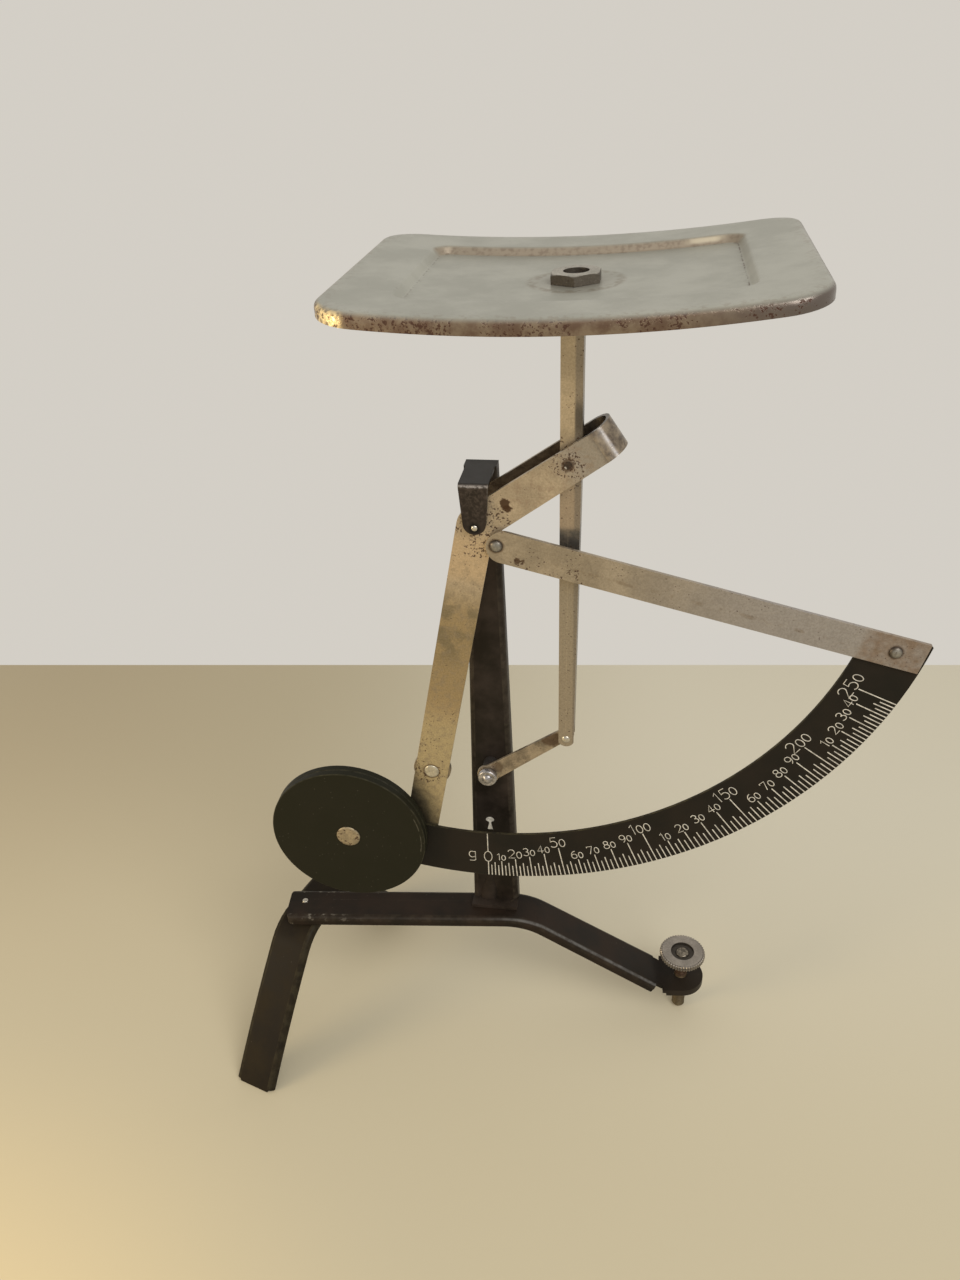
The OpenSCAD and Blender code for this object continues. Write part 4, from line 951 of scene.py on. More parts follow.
# Each figure is its width and its strokes, and is 1 high; a stroke is a list of points
FIGURES = {
    "0": (0.60, [arc(0.30, 0.50, 0.29, 0.49, 90, 450, 18)]),
    "1": (0.36, [[(0.03, 0.78), (0.24, 0.99), (0.24, 0.0)]]),
    "2": (0.62, [arc(0.30, 0.71, 0.28, 0.28, 165, -32, 12) + [(0.02, 0.02), (0.60, 0.02)]]),
    "3": (0.60, [arc(0.28, 0.76, 0.24, 0.23, 150, -90, 12),
                 arc(0.28, 0.27, 0.29, 0.26, 90, -145, 12)]),
    "4": (0.64, [[(0.44, 0.0), (0.44, 0.99), (0.02, 0.27), (0.63, 0.27)]]),
    "5": (0.60, [[(0.54, 0.98), (0.13, 0.98), (0.08, 0.56)]
                 + arc(0.28, 0.32, 0.29, 0.31, 118, -140, 12)]),
    "6": (0.60, [[(0.48, 0.98)] + arc(0.50, 0.42, 0.47, 0.56, 112, 190, 7)
                 + arc(0.30, 0.31, 0.27, 0.29, 190, 540, 14)]),
    "7": (0.56, [[(0.02, 0.84), (0.02, 0.98), (0.55, 0.98), (0.20, 0.0)]]),
    "8": (0.60, [arc(0.30, 0.75, 0.22, 0.22, 90, 450, 14),
                 arc(0.30, 0.27, 0.28, 0.26, 90, 450, 14)]),
    "9": (0.60, [arc(0.30, 0.68, 0.27, 0.29, 10, 360, 14)
                 + arc(0.10, 0.60, 0.47, 0.60, 8, -68, 7)]),
    "g": (0.62, [arc(0.28, 0.66, 0.24, 0.31, 60, 300, 12),
                 [(0.54, 0.97), (0.54, 0.12)] + arc(0.30, 0.12, 0.24, 0.12, 0, -90, 5)
                 + [(0.08, 0.0)], [(0.40, 0.93), (0.54, 0.97)], [(0.40, 0.39), (0.54, 0.45)]]),
}
SMALL_ZERO = 0.76
FIGURE_GAP = 0.14


def figures(text, height):
    """Strokes of a word in millimetres, centred on x = 0 and standing on y = 0."""
    strokes, x = [], 0.0
    for i, letter in enumerate(text):
        wide, lines = FIGURES[letter]
        tall = height * (SMALL_ZERO if letter == "0" and i else 1.0)
        strokes += [[(x + px * tall, py * tall) for px, py in line] for line in lines]
        x += wide * tall + FIGURE_GAP * height
    shift = (x - FIGURE_GAP * height) / 2
    return [[(px - shift, py) for px, py in line] for line in strokes]


def dial_angle(grams):
    load = (grams + LOAD_AT_ZERO) / FULL_LOAD
    return math.atan2(load * math.cos(RISE) - math.sin(LEAN),
                      math.cos(LEAN) - load * math.sin(RISE))


def on_dial(radius, angle, x=0.0, y=0.0):
    """A point x along and y inwards from a place on the dial's face."""
    inner = radius - y
    return at(inner * math.sin(angle) + x * math.cos(angle), DIAL_FACE,
              -inner * math.cos(angle) + x * math.sin(angle))


# ---------------------------------------------------------------- pan

def pan_outline(half, bow, corner, side_steps=28, corner_steps=10):
    """Rounded outline with bowed long sides, counter-clockwise from the right."""
    a, b = half
    end_y = b - bow * ((a - corner) / a) ** 2
    turns = [math.radians(90 * i / corner_steps) for i in range(corner_steps + 1)]
    quarter = [(a - corner + corner * math.cos(t), end_y - corner + corner * math.sin(t))
               for t in turns]
    shares = [1 - 2 * i / side_steps for i in range(1, side_steps)]
    side = [((a - corner) * t, b - bow * ((a - corner) * t / a) ** 2) for t in shares]
    end = [(-a, (end_y - corner) * t) for t in shares]
    loop = quarter + side + [(-x, y) for x, y in quarter[::-1]] + end
    return loop + [(-x, -y) for x, y in loop]


def pan_point(x, y, depth):
    """A place on the pan: x and y from the pan's middle, depth below its curved top."""
    z = PAN["sunk"] + PAN["arc"] - math.sqrt((PAN["arc"] + depth) ** 2 - x * x)
    tilt = math.radians(PAN["tilt"])
    return at(PAN_CENTRE[0] + x * math.cos(tilt) - z * math.sin(tilt), y + PAN_CENTRE[1],
              PAN_CENTRE[2] + x * math.sin(tilt) + z * math.cos(tilt))


def pan_loops(rim_round, step_round):
    """Rings of the pan from its lower edge to its hole: points, depth and station."""
    def edge_ring(inset):
        half = (PAN["half"][0] - inset, PAN["half"][1] - inset)
        return pan_outline(half, PAN["bow"], max(PAN["corner"] - inset, 1.0))

    def panel_ring(outset):
        half = (PAN["panel"][0] + outset, PAN["panel"][1] + outset)
        ring = pan_outline(half, 0.0, max(PAN["panel_corner"] + outset, 0.6))
        return [(x + PAN["panel_x"], y) for x, y in ring]

    def part_way(near, far, t):
        return [(p[0] + (q[0] - p[0]) * t, p[1] + (q[1] - p[1]) * t) for p, q in zip(near, far)]

    rim = [(edge_ring(0.0), PAN["rim"], 0.0), (edge_ring(0.0), PAN["rim"] * 0.7, 0.5)]
    for i in range(6):
        t = math.radians(90 * i / 5)
        rim.append((edge_ring(rim_round * (1 - math.cos(t))), rim_round * (1 - math.sin(t)),
                    1.0 + i / 5))
    # The step: its upper bend, then its lower bend, either side of the panel's outline
    steep, gap, narrow = 62, 0.3, 0.9
    step = []
    for i in range(5):
        t = math.radians(steep * i / 4)
        step.append((panel_ring(step_round * narrow * (1 - math.sin(t)) + gap),
                     step_round * (1 - math.cos(t)), 3.0 + i / 8))
    for i in range(6):
        t = math.radians(steep * (1 - i / 5))
        step.append((panel_ring(-gap - step_round * (1 - math.sin(t)) * narrow),
                     PAN["sunk"] - step_round * (1 - math.cos(t)), 4.0 + i / 5))
    flange = [(part_way(rim[-1][0], step[0][0], i / 6), 0.0, 2.0 + i / 6) for i in range(1, 6)]
    last = step[-1][0]
    turns = [math.atan2(y + PAN["back"], x) for x, y in last]
    hole = [(PAN["hole"] * math.cos(a), -PAN["back"] + PAN["hole"] * math.sin(a)) for a in turns]
    floor = [(part_way(last, hole, i / 9), PAN["sunk"], 5.0 + i / 9) for i in range(1, 10)]
    return rim + flange + step + floor


def pan_shell(sizes, material):
    """The pan's sheet with slight dents in its top, given its wall."""
    loops = pan_loops(sizes.rim_round / MM, sizes.groove_round / MM)
    count, rim_end, wave_height = len(loops[0][0]), 1.9, 0.02
    dents = random.Random(sizes.seed)
    waves = [(dents.uniform(0.02, 0.09), dents.uniform(0.02, 0.09), dents.uniform(0, 6.3))
             for _ in range(5)]
    points, stations, faces = [], [], []
    for ring, depth, station in loops:
        for x, y in ring:
            ripple = sum(math.sin(x * a + y * b + c) for a, b, c in waves) * wave_height
            points.append(pan_point(x, y, depth + (ripple if station > rim_end else 0.0)))
            stations.append(station)
    for j in range(0, (len(loops) - 1) * count, count):
        for i in range(count):
            k = (i + 1) % count
            faces.append((j + i, j + k, j + count + k, j + count + i))
    mesh = from_rows("pan_shell", points, faces)
    note(mesh, "station", "POINT", stations)
    piece = new_object("pan_shell", mesh)
    wall = piece.modifiers.new("Wall", "SOLIDIFY")
    wall.thickness = PAN["gauge"] * MM
    wall.offset = -1
    baked(piece)
    smooth(piece.data, 50)
    return settle(piece, "pan_carrier", "pan_nickel", material, "pan")


# ---------------------------------------------------------------- operators

class LETTERSCALE_OT_shared(bpy.types.Operator):
    """Build the shader groups and geometry trees that the pieces share"""
    bl_idname = "letter_scale.shared"
    bl_label = "Shared Effects"

    def execute(self, context):
        GROUPS.update(tarnish=tarnish_group(), mark=mark_group(), edge=edge_group(),
                      lacquer=lacquer_group())
        TREES.update(ticks=dial_tick_tree(), strokes=ink_stroke_tree(), knurls=knurl_tree(),
                     thread=thread_tree())
        return {"FINISHED"}


class LETTERSCALE_OT_stand(bpy.types.Operator):
    """Post, foot bar and folding leg in worn lacquer, with their rivets"""
    bl_idname = "letter_scale.stand"
    bl_label = "Stand"

    def execute(self, context):
        finish, rounding = settings("finish"), settings("sizes").edge_round
        bar = lacquered("bar_lacquer", finish.lacquer, finish.worn_lacquer, -BASE_TURN, "Z", 0.16,
                        extra=foot_bar_wear, sheen=0.1)
        leg = lacquered("leg_lacquer", shade(finish.lacquer, 1.1), (0.046, 0.038, 0.021),
                        warm=(0.0205, 0.0150, 0.0082), sheen=0.06, roughness=0.42)
        post = lacquered("post_lacquer", finish.lacquer, finish.worn_lacquer, edge=0.3,
                         extra=post_wear, warm=(0.033, 0.0245, 0.0190))
        steel = plated("pin_steel", finish.steel, pits=0.2, metallic=0.9, roughness=0.26,
                       cloud_size=2.0)
        softened("base_bar", "foot_bar", rounding, "stand", "lacquer", bar)
        softened("cross_leg", "folding_leg", rounding, "cross_leg", "lacquer", leg)
        softened("post", "standing_post", rounding, "stand", "lacquer", post)
        softened("leg_washer", "leg_pivot_washer", rounding, "stand", "rivet_steel", steel)
        softened("main_pivot_pin", "main_pin", rounding / 2, "stand", "rivet_steel", steel)
        refinished(post, "post_foot_rivets")
        self.leg_rivet(steel)
        self.gusset(post)
        self.index_mark()
        return {"FINISHED"}

    def leg_rivet(self, steel):
        """The leg's rivet, headed over in a small bright dome on the bar."""
        dome = 0.5
        low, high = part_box("leg_rivet")
        centre = Vector(((low.x + high.x) / 2, (low.y + high.y) / 2, high.z - dome * MM))
        foot = (low.z - centre.z) / MM
        rows = [(1.9, foot), (2.2, foot + 0.12), (2.2, foot + 0.38), (1.9, foot + 0.5)]
        rows += [(1.0, foot + 0.5), (1.0, 0.0), (0.98, 0.14), (0.86, 0.3), (0.6, 0.43),
                 (0.25, dome)]
        shaped("leg_pivot_rivet", *lathe(rows, centre, 32), "stand", "rivet_steel", steel,
               "leg_rivet")

    def gusset(self, post):
        """A pressed teardrop that stiffens the bend between web and foot."""
        foot, tall, wide, proud, sunk = -141.7, 11.6, 2.6, 1.15, 0.15
        rows, steps = 18, 14
        points, faces = [], []
        for j in range(rows + 1):
            t = j / rows
            half = wide * (1 - max(0, (t - 0.15) / 0.85) ** 1.5)
            lift = (proud * (1 - t) ** 0.9 + sunk) if half else 0
            for i in range(steps + 1):
                a = math.pi * i / steps
                points.append(at(-2.4 + 0.9 * t - half * math.cos(a),
                                 POST_FACE + sunk - lift * math.sin(a), foot + tall * t))
        for j in range(0, rows * (steps + 1), steps + 1):
            for k in range(j, j + steps):
                faces.append((k, k + 1, k + steps + 2, k + steps + 1))
            faces.append((j + steps, j, j + steps + 1, j + 2 * steps + 1))
        faces.append(tuple(range(steps + 1))[::-1])
        shaped("post_gusset", points, faces, "stand", "lacquer", post)

    def index_mark(self):
        """The off-white mark on the post that the dial is read against."""
        turns = [math.radians(a) for a in range(0, 181, 12)]
        right = [(1.15, -1.5), (0.75, -1.8), (0.34, -2.05), (0.3, -2.5), (0.45, -3.3), (0.85, -5.1)]
        outline = [(-1.3 * math.cos(a), 1.15 * math.sin(a) - 1.2) for a in turns] + right
        outline += [(-x, z) for x, z in right[::-1]]
        aside, below, skin = -1.0, -106.65, (-0.03, 0.05)
        points = [at(x + aside, POST_FACE + y, z + below) for y in skin for x, z in outline]
        n = len(outline)
        faces = [tuple(range(n)), tuple(range(n, 2 * n))[::-1]]
        faces += [(i, n + i, n + (i + 1) % n, (i + 1) % n) for i in range(n)]
        shaped("index_mark", points, faces, "stand", "dial_black", printed("mark_print", 1.45),
               sharp=None)


class LETTERSCALE_OT_lever(bpy.types.Operator):
    """Bent strap and radial bar of aged nickel, with domed rivets"""
    bl_idname = "letter_scale.lever"
    bl_label = "Lever"

    def execute(self, context):
        finish, rounding = settings("finish"), settings("sizes").edge_round
        trim_x, trim_z = polar(TRIM_RADIUS, -ARM_ANGLE)
        pin, trim = (STEM_PIN[0], 0.0, STEM_PIN[1]), (trim_x, 0.0, trim_z)
        start, last = ((x, BAR_FACE, z) for x, z in (BAR_START, BAR_END))
        strap = plated("strap_nickel", finish.lever_nickel, 90 - ARM_ANGLE, pits=0.2,
                       marks=[("pits", (1.0, 0.0, -1.0), 15.0, 1.3),
                              ("pits", pin, 6.5, 1.25),
                              ("pits", trim, 9.0, 1.1),
                              ("pits", (-13.0, 0.0, -66.0), 16.0, 0.35),
                              ("stain", trim, 3.0, 0.85, 0.25),
                              ("stain", (7.7, 0.0, 6.5), 1.6, 0.95, 0.6),
                              ("stain", (8.5, 0.0, 5.2), 1.3, 0.95, 0.6),
                              ("stain", pin, 2.0, 0.75, 0.4)],
                       extra=strap_wear, polish=strap_polish)
        bar = plated("radial_nickel", finish.bar_nickel, BAR_ANGLE,
                     marks=[("pits", (18.0, BAR_FACE, -8.0), 20.0, 0.35),
                            ("stain", (11.0, BAR_FACE, -8.4), 1.1, 0.85, 0.6),
                            ("stain", (12.2, BAR_FACE, -8.6), 0.8, 0.8, 0.5),
                            ("stain", start, 2.4, 0.9, 0.08),
                            ("stain", last, 2.35, 0.85, 0.08)],
                     extra=bar_wear, roughness=0.34)
        steel = plated("rivet_nickel", finish.steel, pits=0.25, pit_size=0.6, cloud_size=2.0,
                       metallic=0.8, roughness=0.3)
        dark_pin = plated("stem_pin_dark", (0.05, 0.034, 0.024), pits=0.6, pit_size=0.5,
                          cloud_size=1.2, metallic=0.5, roughness=0.4,
                          marks=[("gleam", (pin[0] - 0.6, 0.0, pin[2] - 0.6), 0.5, 0.6, 0.1)])
        softened("lever_strap", "bent_strap", rounding, "lever", "nickel", strap)
        softened("radial_bar", "radial_lever", rounding, "lever", "nickel", bar)
        softened("stem_pin", "stem_pivot_pin", rounding / 2, "lever", "rivet_steel", dark_pin)
        refinished(steel, "bar_washer", "dial_arm_rivet")
        self.domed_rivet("bar_strap_rivet", "strap_rivet", *BAR_START)
        self.domed_rivet("bar_dial_rivet", "dial_rivet", *BAR_END)
        return {"FINISHED"}

    def domed_rivet(self, node, name, x, z):
        """A rivet along the lever's depth: round dome in front, flat tail behind."""
        front, tail = depths(node)
        radius = 1.75
        material = plated(name + "_nickel", shade(settings("finish").steel, 0.5), pits=0.5,
                          pit_size=0.5, cloud_size=1.5, metallic=0.6,
                          extra=dome_wear(x, z, radius))
        dome = [(0.12, 0.0), (0.62, 0.05), (1.1, 0.19), (1.46, 0.42), (1.68, 0.68), (radius, 0.9),
                (1.0, 0.9)]
        rows = [(r, front + h) for r, h in dome]
        rows += [(1.0, tail - 0.5), (1.6, tail - 0.5), (1.6, tail - 0.15), (1.3, tail)]
        shaped(name, *lathe(rows, at(x, 0.0, z), 36, "Y"), "lever", "rivet_steel", material, node)


class LETTERSCALE_OT_dial(bpy.types.Operator):
    """Black dial with ticks spaced by the balance's law, and its figures"""
    bl_idname = "letter_scale.dial"
    bl_label = "Dial"

    def execute(self, context):
        finish, sizes = settings("finish"), settings("sizes")
        black = lacquered("dial_lacquer", finish.dial_black, (0.055, 0.046, 0.024), edge=0.8,
                          roughness=0.45, warm=(0.0165, 0.0128, 0.0090), sheen=0.1)
        ink = printed("dial_print")
        softened("dial_plate", "dial", sizes.edge_round, "lever", "dial_black", black)
        ticks = grown("dial_ticks", TREES["ticks"], {
            "Ticks": 101, "Grams Per Tick": 2.5, "Full Load": FULL_LOAD,
            "Load At Zero": LOAD_AT_ZERO, "Lean": LEAN, "Rise": RISE,
            "Centre": at(0, DIAL_FACE, 0), "Outer Radius": (DIAL_RADIUS - 0.12) * MM,
            "Line Width": sizes.ink_width, "Ink Thickness": 2 * sizes.ink_thickness,
            "Material": ink})
        settle(ticks, "lever", "dial_black", ink)
        points, edges = [], []
        for line in self.strokes(sizes.small_digit / MM, sizes.large_digit / MM):
            edges += [(i, i + 1) for i in range(len(points), len(points) + len(line) - 1)]
            points += line
        lettering = grown("dial_figures", TREES["strokes"], {
            "Line Width": sizes.ink_width, "Flatness": 2 * sizes.ink_thickness / sizes.ink_width,
            "Face": at(0, DIAL_FACE, 0).y, "Material": ink},
            from_rows("dial_figures", points, [], edges))
        settle(lettering, "lever", "dial_black", ink)
        return {"FINISHED"}

    def strokes(self, small, large):
        """The numbers, the g and the zero line, drawn as single strokes."""
        lines = []
        for grams in range(10, 251, 10):
            step = grams // 10 % 5
            shown = str(grams) if grams <= 100 or step == 0 else str(grams % 100)
            reach = FIFTIES_TICK if step == 0 else TENS_TICK + TENS_GROWTH * step
            tall = {10: 0.9 * small, 20: 1.15 * small}.get(grams, small if step else large)
            foot, angle = DIAL_RADIUS - reach - 0.55, dial_angle(grams)
            lines += [[on_dial(foot, angle, x, y) for x, y in line]
                      for line in figures(shown, tall)]
        for sign, tall, foot, aside, inwards in (("0", 4.2, 114.45, 0.0, 0.0),
                                                 ("g", 3.9, 114.6, -4.9, 0.1)):
            lines += [[on_dial(foot, 0.0, x + aside, y + inwards) for x, y in line]
                      for line in figures(sign, tall)]
        zero_line = (DIAL_RADIUS - DIAL_BAND + 0.1, 106.0, 110.2)
        lines.append([on_dial(radius, 0.0) for radius in zero_line])
        return lines


class LETTERSCALE_OT_weights(bpy.types.Operator):
    """Two black counterweight discs, their rivet, and the small trim weight"""
    bl_idname = "letter_scale.weights"
    bl_label = "Weights"

    def execute(self, context):
        finish = settings("finish")
        black = lacquered("weight_lacquer", finish.weight_lacquer, (0.055, 0.05, 0.03),
                          roughness=0.42, extra=weight_wear, warm=(0.0150, 0.0140, 0.0082),
                          sheen=0.08)
        softened("front_weight", "front_disc", 0.00028, "lever", "lacquer", black, 3, 0.0002)
        softened("rear_weight", "rear_disc", 0.00028, "lever", "lacquer", black, 3, 0.0002)
        brass = plated("weight_rivet_old", (0.33, 0.27, 0.175), pits=0.75, pit_size=1.2,
                       cloud_size=1.6, metallic=0.55, roughness=0.42)
        self.flat_head("weight_rivet", polar(WEIGHT_RADIUS, -WEIGHT_ANGLE), brass)
        nickel = plated("trim_nickel", shade(finish.lever_nickel, 0.6), pits=0.45, metallic=0.62)
        softened("trim_weight", "trim_disc", 0.0002, "lever", "nickel", nickel)
        pale = plated("trim_rivet_pale", (0.50, 0.46, 0.36), pit_size=0.8, cloud_size=2.0,
                      metallic=0.6, roughness=0.34)
        self.flat_head("trim_rivet", polar(TRIM_RADIUS, -ARM_ANGLE), pale)
        return {"FINISHED"}

    def flat_head(self, node, place, material):
        """A rivet with a hammered, nearly flat head."""
        low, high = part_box(node)
        front, tail = depths(node)
        wide = (high.x - low.x) / 2 / MM
        hammered, steps = random.Random(settings("sizes").seed), 40
        head = [(0.05, 0.03), (0.35, 0.0), (0.6, 0.03), (0.8, 0.09), (0.94, 0.22), (1, 0.4),
                (1, 0.5)]
        rows = [(wide * r, front + h) for r, h in head] + [(wide, tail - 0.12), (wide * 0.9, tail)]
        points, faces = lathe(rows, at(place[0], 0.0, place[1]), steps, "Y")
        for i in range(4 * steps):
            points[i] += Vector((0, hammered.uniform(0.0, 0.07) * MM, 0))
        shaped(node + "_head", points, faces, "lever", "rivet_steel", material, node)


class LETTERSCALE_OT_pan(bpy.types.Operator):
    """Pressed pan with rolled rim and stamped panel, its nut, stud and stem"""
    bl_idname = "letter_scale.pan"
    bl_label = "Pan"

    def execute(self, context):
        finish = settings("finish")
        pan_shell(settings("sizes"), pan_finish())
        nut = plated("nut_nickel", (0.40, 0.378, 0.325), pit_size=0.7, cloud_size=3.0,
                     metallic=0.6, roughness=0.38, edge=0.0, extra=nut_wear)
        softened("pan_nut", "pan_hex_nut", 0.00016, "pan_carrier", "rivet_steel", nut)
        # The stud is darkened as painted shade inside the nut's hole
        dark = plated("stud_dark", (0.035, 0.027, 0.020), pits=0.6, cloud_size=2.0, metallic=0.3,
                      roughness=0.6, edge=0.0)
        softened("stem_stud", "threaded_stud", 0.00012, "pan_carrier", "rivet_steel", dark, bend=0)
        stem = plated("stem_nickel", finish.stem_nickel, 90, pits=0.35, extra=stem_wear, edge=0.15,
                      marks=[("pits", (STEM_PIN[0], 2.0, STEM_PIN[1]), 11.0, 0.6)])
        softened("pan_stem", "pan_stem_strip", 0.0002, "pan_carrier", "nickel", stem)
        steel = plated("link_pin_steel", finish.steel, pits=0.2, cloud_size=1.5, metallic=0.9,
                       roughness=0.25)
        softened("link_pin", "link_end_pin", 0.0001, "pan_carrier", "rivet_steel", steel)
        return {"FINISHED"}


class LETTERSCALE_OT_link(bpy.types.Operator):
    """Lower link with its collar, spacer and domed stud"""
    bl_idname = "letter_scale.link"
    bl_label = "Link"

    def execute(self, context):
        rounding, turn = settings("sizes").edge_round, math.radians(LINK_ANGLE)
        x, z = LINK_LENGTH * math.cos(turn), LINK_LENGTH * math.sin(turn) - LINK_DROP
        brown = plated("link_nickel", shade(settings("finish").lever_nickel, 0.72), -LINK_ANGLE,
                       pits=0.4, cloud_size=5.0, dark=0.5, metallic=0.62,
                       marks=[("stain", (x - 4.5, LINK_Y, z - 2.0), 3.4, 0.75, 0.5),
                              ("stain", (3.0, LINK_Y, 3.2 - LINK_DROP), 2.2, 0.5, 0.4)])
        bright = plated("collar_chrome", (0.42, 0.405, 0.41), pits=0.45, pit_size=0.5,
                        cloud_size=1.2, dark=0.4, metallic=0.85, roughness=0.26)
        dull = plated("spacer_dull", (0.055, 0.047, 0.042), cloud_size=2.0, metallic=0.4,
                      roughness=0.5, edge=0.0)
        softened("lower_link", "link_strip", rounding, "lower_link", "nickel", brown)
        softened("link_washer", "link_collar", 0.0005, "stand", "rivet_steel", bright, 4)
        softened("link_stud", "link_pivot_stud", rounding, "stand", "rivet_steel", bright)
        softened("link_spacer", "link_spacer_ring", rounding, "stand", "rivet_steel", dull)
        return {"FINISHED"}


class LETTERSCALE_OT_levelling_foot(bpy.types.Operator):
    """Levelling screw with its thread and the knurled head"""
    bl_idname = "letter_scale.levelling_foot"
    bl_label = "Levelling Foot"

    def execute(self, context):
        finish, sizes = settings("finish"), settings("sizes")
        low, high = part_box("levelling_screw")
        centre = Vector(((low.x + high.x) / 2, (low.y + high.y) / 2, low.z))
        # The mark under the head is a painted shadow of the head on the screw
        under_head = (centre - PIVOT) / MM + Vector((0, 0, 21.0))
        bronze = plated("screw_bronze_old", finish.bronze, pits=0.35, cloud_size=3.0, metallic=0.5,
                        roughness=0.42, marks=[("stain", tuple(under_head), 7.0, 0.9, 0.1)])
        nickel = plated("head_nickel", finish.knurl_nickel, pits=0.1, cloud_size=5.0,
                        metallic=0.62, edge=0.0, extra=head_wear)
        self.screw(centre, high.z - low.z, bronze, sizes)
        self.head(centre, nickel, sizes)
        return {"FINISHED"}

    def screw(self, centre, tall, bronze, sizes):
        """Threaded shank, plain tip and the end riveted over in the head."""
        tip, end = 0.0009, 0.0006
        shank = grown("levelling_shank", TREES["thread"], {
            "Radius": 0.0022, "Depth": sizes.thread_depth, "Pitch": sizes.thread_pitch,
            "Length": tall - tip - end, "Foot": centre + Vector((0, 0, tip)),
            "Material": bronze})
        settle(shank, "levelling_screw", "screw_bronze", bronze, "levelling_screw")
        rows = [(1.2, 0.0), (1.45, 0.06), (1.9, 0.75), (1.9, 1.3)]
        shaped("levelling_tip", *lathe(rows, centre, 32), "levelling_screw", "screw_bronze", bronze,
               sharp=35)
        peened, steps = random.Random(sizes.seed), 30
        rows = [(2.1, -1.2), (2.15, -0.5), (2.05, -0.15), (1.75, -0.02), (1.35, -0.1), (0.9, -0.02),
                (0.45, -0.12), (0.12, -0.06)]
        points, faces = lathe(rows, centre + Vector((0, 0, tall)), steps)
        for i in range(2 * steps, len(points)):
            points[i] += Vector((peened.uniform(-0.12, 0.12), peened.uniform(-0.12, 0.12),
                                 peened.uniform(-0.2, 0.0))) * MM
        silver = plated("riveted_end_silver", (0.28, 0.245, 0.195), pits=0.9, pit_size=0.8,
                        cloud_size=1.0, dark=0.3, metallic=0.7, roughness=0.32)
        shaped("riveted_end", points, faces, "levelling_screw", "screw_bronze", silver, sharp=70)

    def head(self, centre, nickel, sizes):
        """Knurled head: a hollowed disc on a neck, with teeth round its rim."""
        low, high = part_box("knurled_head")
        radius = (high.x - low.x) / 2
        top, under = (high.z - centre.z) / MM, (low.z - centre.z) / MM
        r = radius / MM - 0.5
        rows = [(2.3, under), (3.0, under), (3.2, under + 0.2), (3.2, under + 1.6),
                (r - 0.3, under + 1.6), (r, under + 1.85), (r, top - 0.3), (r - 0.28, top - 0.03),
                (r - 0.5, top), (4.15, top), (3.9, top - 0.08), (3.8, top - 0.3), (3.75, top - 0.8),
                (2.3, top - 0.86), (2.3, under)]
        points, faces = lathe(rows, centre, 72)
        body = worked(from_rows("knurled_body", points, faces[:-2]), weld, face_out)
        teeth = grown("knurled_teeth", TREES["knurls"], {
            "Teeth": sizes.knurls, "Radius": radius - 0.00002, "Depth": 0.00052,
            "Thickness": 0.0019, "Centre": centre + Vector((0, 0, (top - 1.0) * MM)),
            "Material": nickel})

        def grooved(place):
            """1 in the hollow round the screw and between the knurls, 0 on the open faces."""
            away = (place.xy - centre.xy).length / MM
            depth = top - (place.z - centre.z) / MM
            hollow = away < 3.95 and depth > 0.02
            between = away > r - 0.2 and depth > 0.1
            return 1.0 if hollow or between else 0.0

        note(body, "groove", "FACE", [grooved(face.center) for face in body.polygons])
        knob = worked(bpy.data.meshes.new("knurled_knob"), lambda work: work.from_mesh(body),
                      lambda work: work.from_mesh(teeth.data))
        bpy.data.objects.remove(teeth)
        smooth(knob, 30)
        settle(new_object("knurled_knob", knob), "screw_head", "knurl_nickel", nickel,
               "knurled_head")


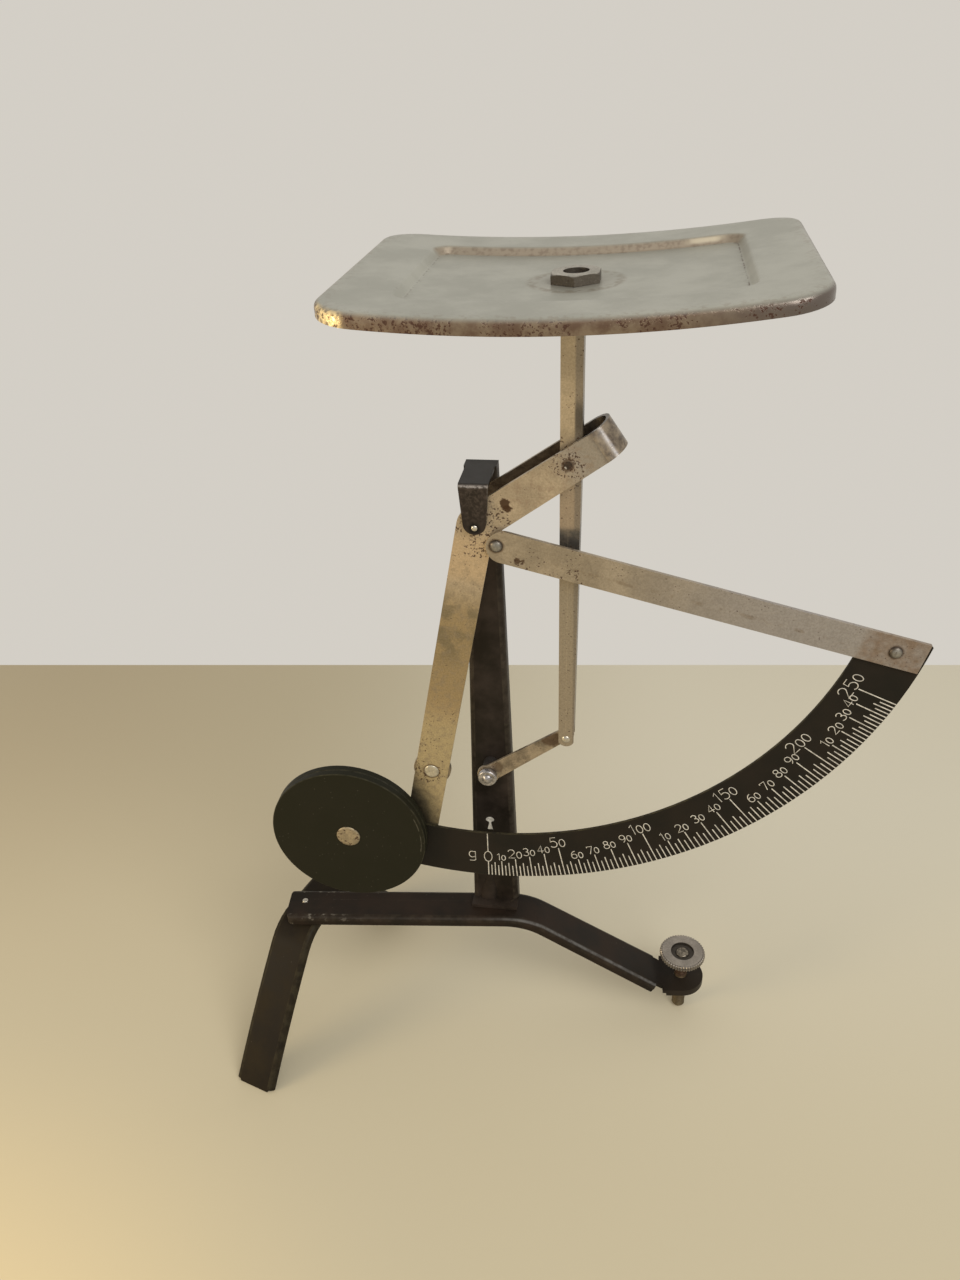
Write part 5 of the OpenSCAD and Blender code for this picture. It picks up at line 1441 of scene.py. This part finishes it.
class LETTERSCALE_OT_stage(bpy.types.Operator):
    """Pale floor, soft studio light and the camera"""
    bl_idname = "letter_scale.stage"
    bl_label = "Stage"

    def execute(self, context):
        stage = settings("stage")
        self.floor(stage.floor)
        self.world(stage)
        self.lamp("window_light", (0.42, -0.52, 0.72), 0.14, 0.55, stage.key, (1.0, 0.98, 0.95))
        self.lamp("warm_light", (-0.52, -0.30, 0.22), 0.16, 0.22, stage.warm, (1.0, 0.80, 0.50))
        self.camera()
        return {"FINISHED"}

    def floor(self, pale):
        """A pale table top whose far edge lies where the wall meets it."""
        near, far_left, far_right = -0.9, 0.1486, 0.3238
        corners = [(-0.9, near, 0.0), (0.95, near, 0.0),
                   (PIVOT.x + 0.95, PIVOT.y + far_right, 0.0),
                   (PIVOT.x - 0.85, PIVOT.y + far_left, 0.0)]
        floor = new_object("floor", from_rows("floor", corners, [(0, 1, 2, 3)]))
        s = Surface("pale_table")
        place = s.places["Object"]
        x, y, _ = parts(s.tree, place)
        s.tone = s.blended(s.noise(3.0, 3.0, vector=place).step(0.3, 0.7), shade(pale, 0.97), pale)
        # Painted light towards the far right, painted shade at the far left, and a painted pool of
        # warm light
        far = y.step(-0.10, 0.14)
        s.paint(far * x.step(-0.16, 0.06, 0.0, 0.85), (0.60, 0.56, 0.445))
        s.paint(far * x.step(-0.06, -0.30, 0.0, 0.8), (0.385, 0.32, 0.205))
        pool = distance(s.tree, place, (-0.17, -0.21, 0.0)).step(0.02, 0.19, 1.0, 0.0)
        s.paint(pool * 0.9, (0.77, 0.61, 0.33))
        floor.data.materials.append(s.done(0.7))

    def world(self, stage):
        """Soft room light; the camera, glass and metal see the plain backdrop instead."""
        world = bpy.data.worlds.new("studio")
        bpy.context.scene.world = world
        world.use_nodes = True
        tree = world.node_tree
        lit = tree.nodes["Background"]
        lit.inputs["Color"].default_value = (1.0, 0.975, 0.94, 1.0)
        lit.inputs["Strength"].default_value = stage.ambient
        seen = got(tree, "ShaderNodeBackground", {"Color": tuple(stage.backdrop), "Strength": 1.0})
        ray = put(tree, "ShaderNodeLightPath").outputs
        direct = calc(tree, "MAXIMUM", ray["Is Camera Ray"],
                      calc(tree, "MAXIMUM", ray["Is Glossy Ray"], ray["Is Transmission Ray"]))
        both = got(tree, "ShaderNodeMixShader", {0: direct, 1: lit.outputs[0], 2: seen})
        tree.links.new(both, tree.nodes["World Output"].inputs["Surface"])

    def lamp(self, name, place, target, size, power, tint):
        """A square lamp that points at a height over the frame's origin."""
        data = bpy.data.lights.new(name, "AREA")
        data.size = size
        data.energy = power
        data.color = tint
        made = new_object(name, data)
        made.location = place
        aim = Vector((0.0, 0.0, target)) - Vector(place)
        made.rotation_euler = aim.to_track_quat("-Z", "Y").to_euler()

    def camera(self):
        """The camera as fitted to the photograph."""
        yaw, pitch, roll = (math.radians(a) for a in (-9.856, 31.530, -2.337))
        ahead = Vector((math.sin(yaw) * math.cos(pitch), math.cos(yaw) * math.cos(pitch),
                        -math.sin(pitch)))
        side = Vector((math.cos(yaw), -math.sin(yaw), 0))
        up = side.cross(ahead)
        right = side * math.cos(roll) + up * math.sin(roll)
        above = up * math.cos(roll) - side * math.sin(roll)
        turn = Matrix((right, above, -ahead)).transposed().to_4x4()
        data = bpy.data.cameras.new("camera")
        data.sensor_width = 36.0
        data.lens = 29.54
        data.clip_start = 0.01
        camera = new_object("camera", data)
        camera.matrix_world = Matrix.Translation(at(41.69, -239.66, 115.16)) @ turn
        bpy.context.scene.camera = camera


class LETTERSCALE_PT_panel(bpy.types.Panel):
    """Buttons and settings of the letter scale"""
    bl_idname = "LETTERSCALE_PT_panel"
    bl_label = "Letter Scale"
    bl_space_type = "VIEW_3D"
    bl_region_type = "UI"
    bl_category = "Letter Scale"

    def draw(self, context):
        for step in STEPS:
            self.layout.operator(step.bl_idname)
        for name in SETTINGS:
            box = self.layout.box()
            for label in settings(name).__annotations__:
                box.prop(settings(name), label)


SETTINGS = {"finish": LetterScaleFinish, "sizes": LetterScaleSizes, "stage": LetterScaleStage}
STEPS = (LETTERSCALE_OT_shared, LETTERSCALE_OT_stand, LETTERSCALE_OT_lever, LETTERSCALE_OT_dial,
         LETTERSCALE_OT_weights, LETTERSCALE_OT_pan, LETTERSCALE_OT_link,
         LETTERSCALE_OT_levelling_foot, LETTERSCALE_OT_stage)


def register():
    for made in (*SETTINGS.values(), *STEPS, LETTERSCALE_PT_panel):
        bpy.utils.register_class(made)
    for name, made in SETTINGS.items():
        setattr(bpy.types.Scene, "letter_scale_" + name, bpy.props.PointerProperty(type=made))


def unregister():
    for name in SETTINGS:
        delattr(bpy.types.Scene, "letter_scale_" + name)
    for made in reversed((*SETTINGS.values(), *STEPS, LETTERSCALE_PT_panel)):
        bpy.utils.unregister_class(made)


def main():
    """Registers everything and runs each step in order."""
    register()
    for step in STEPS:
        group, name = step.bl_idname.split(".")
        getattr(getattr(bpy.ops, group), name)()
    bpy.context.scene.view_settings.view_transform = "Standard"


if __name__ == "__main__":
    main()
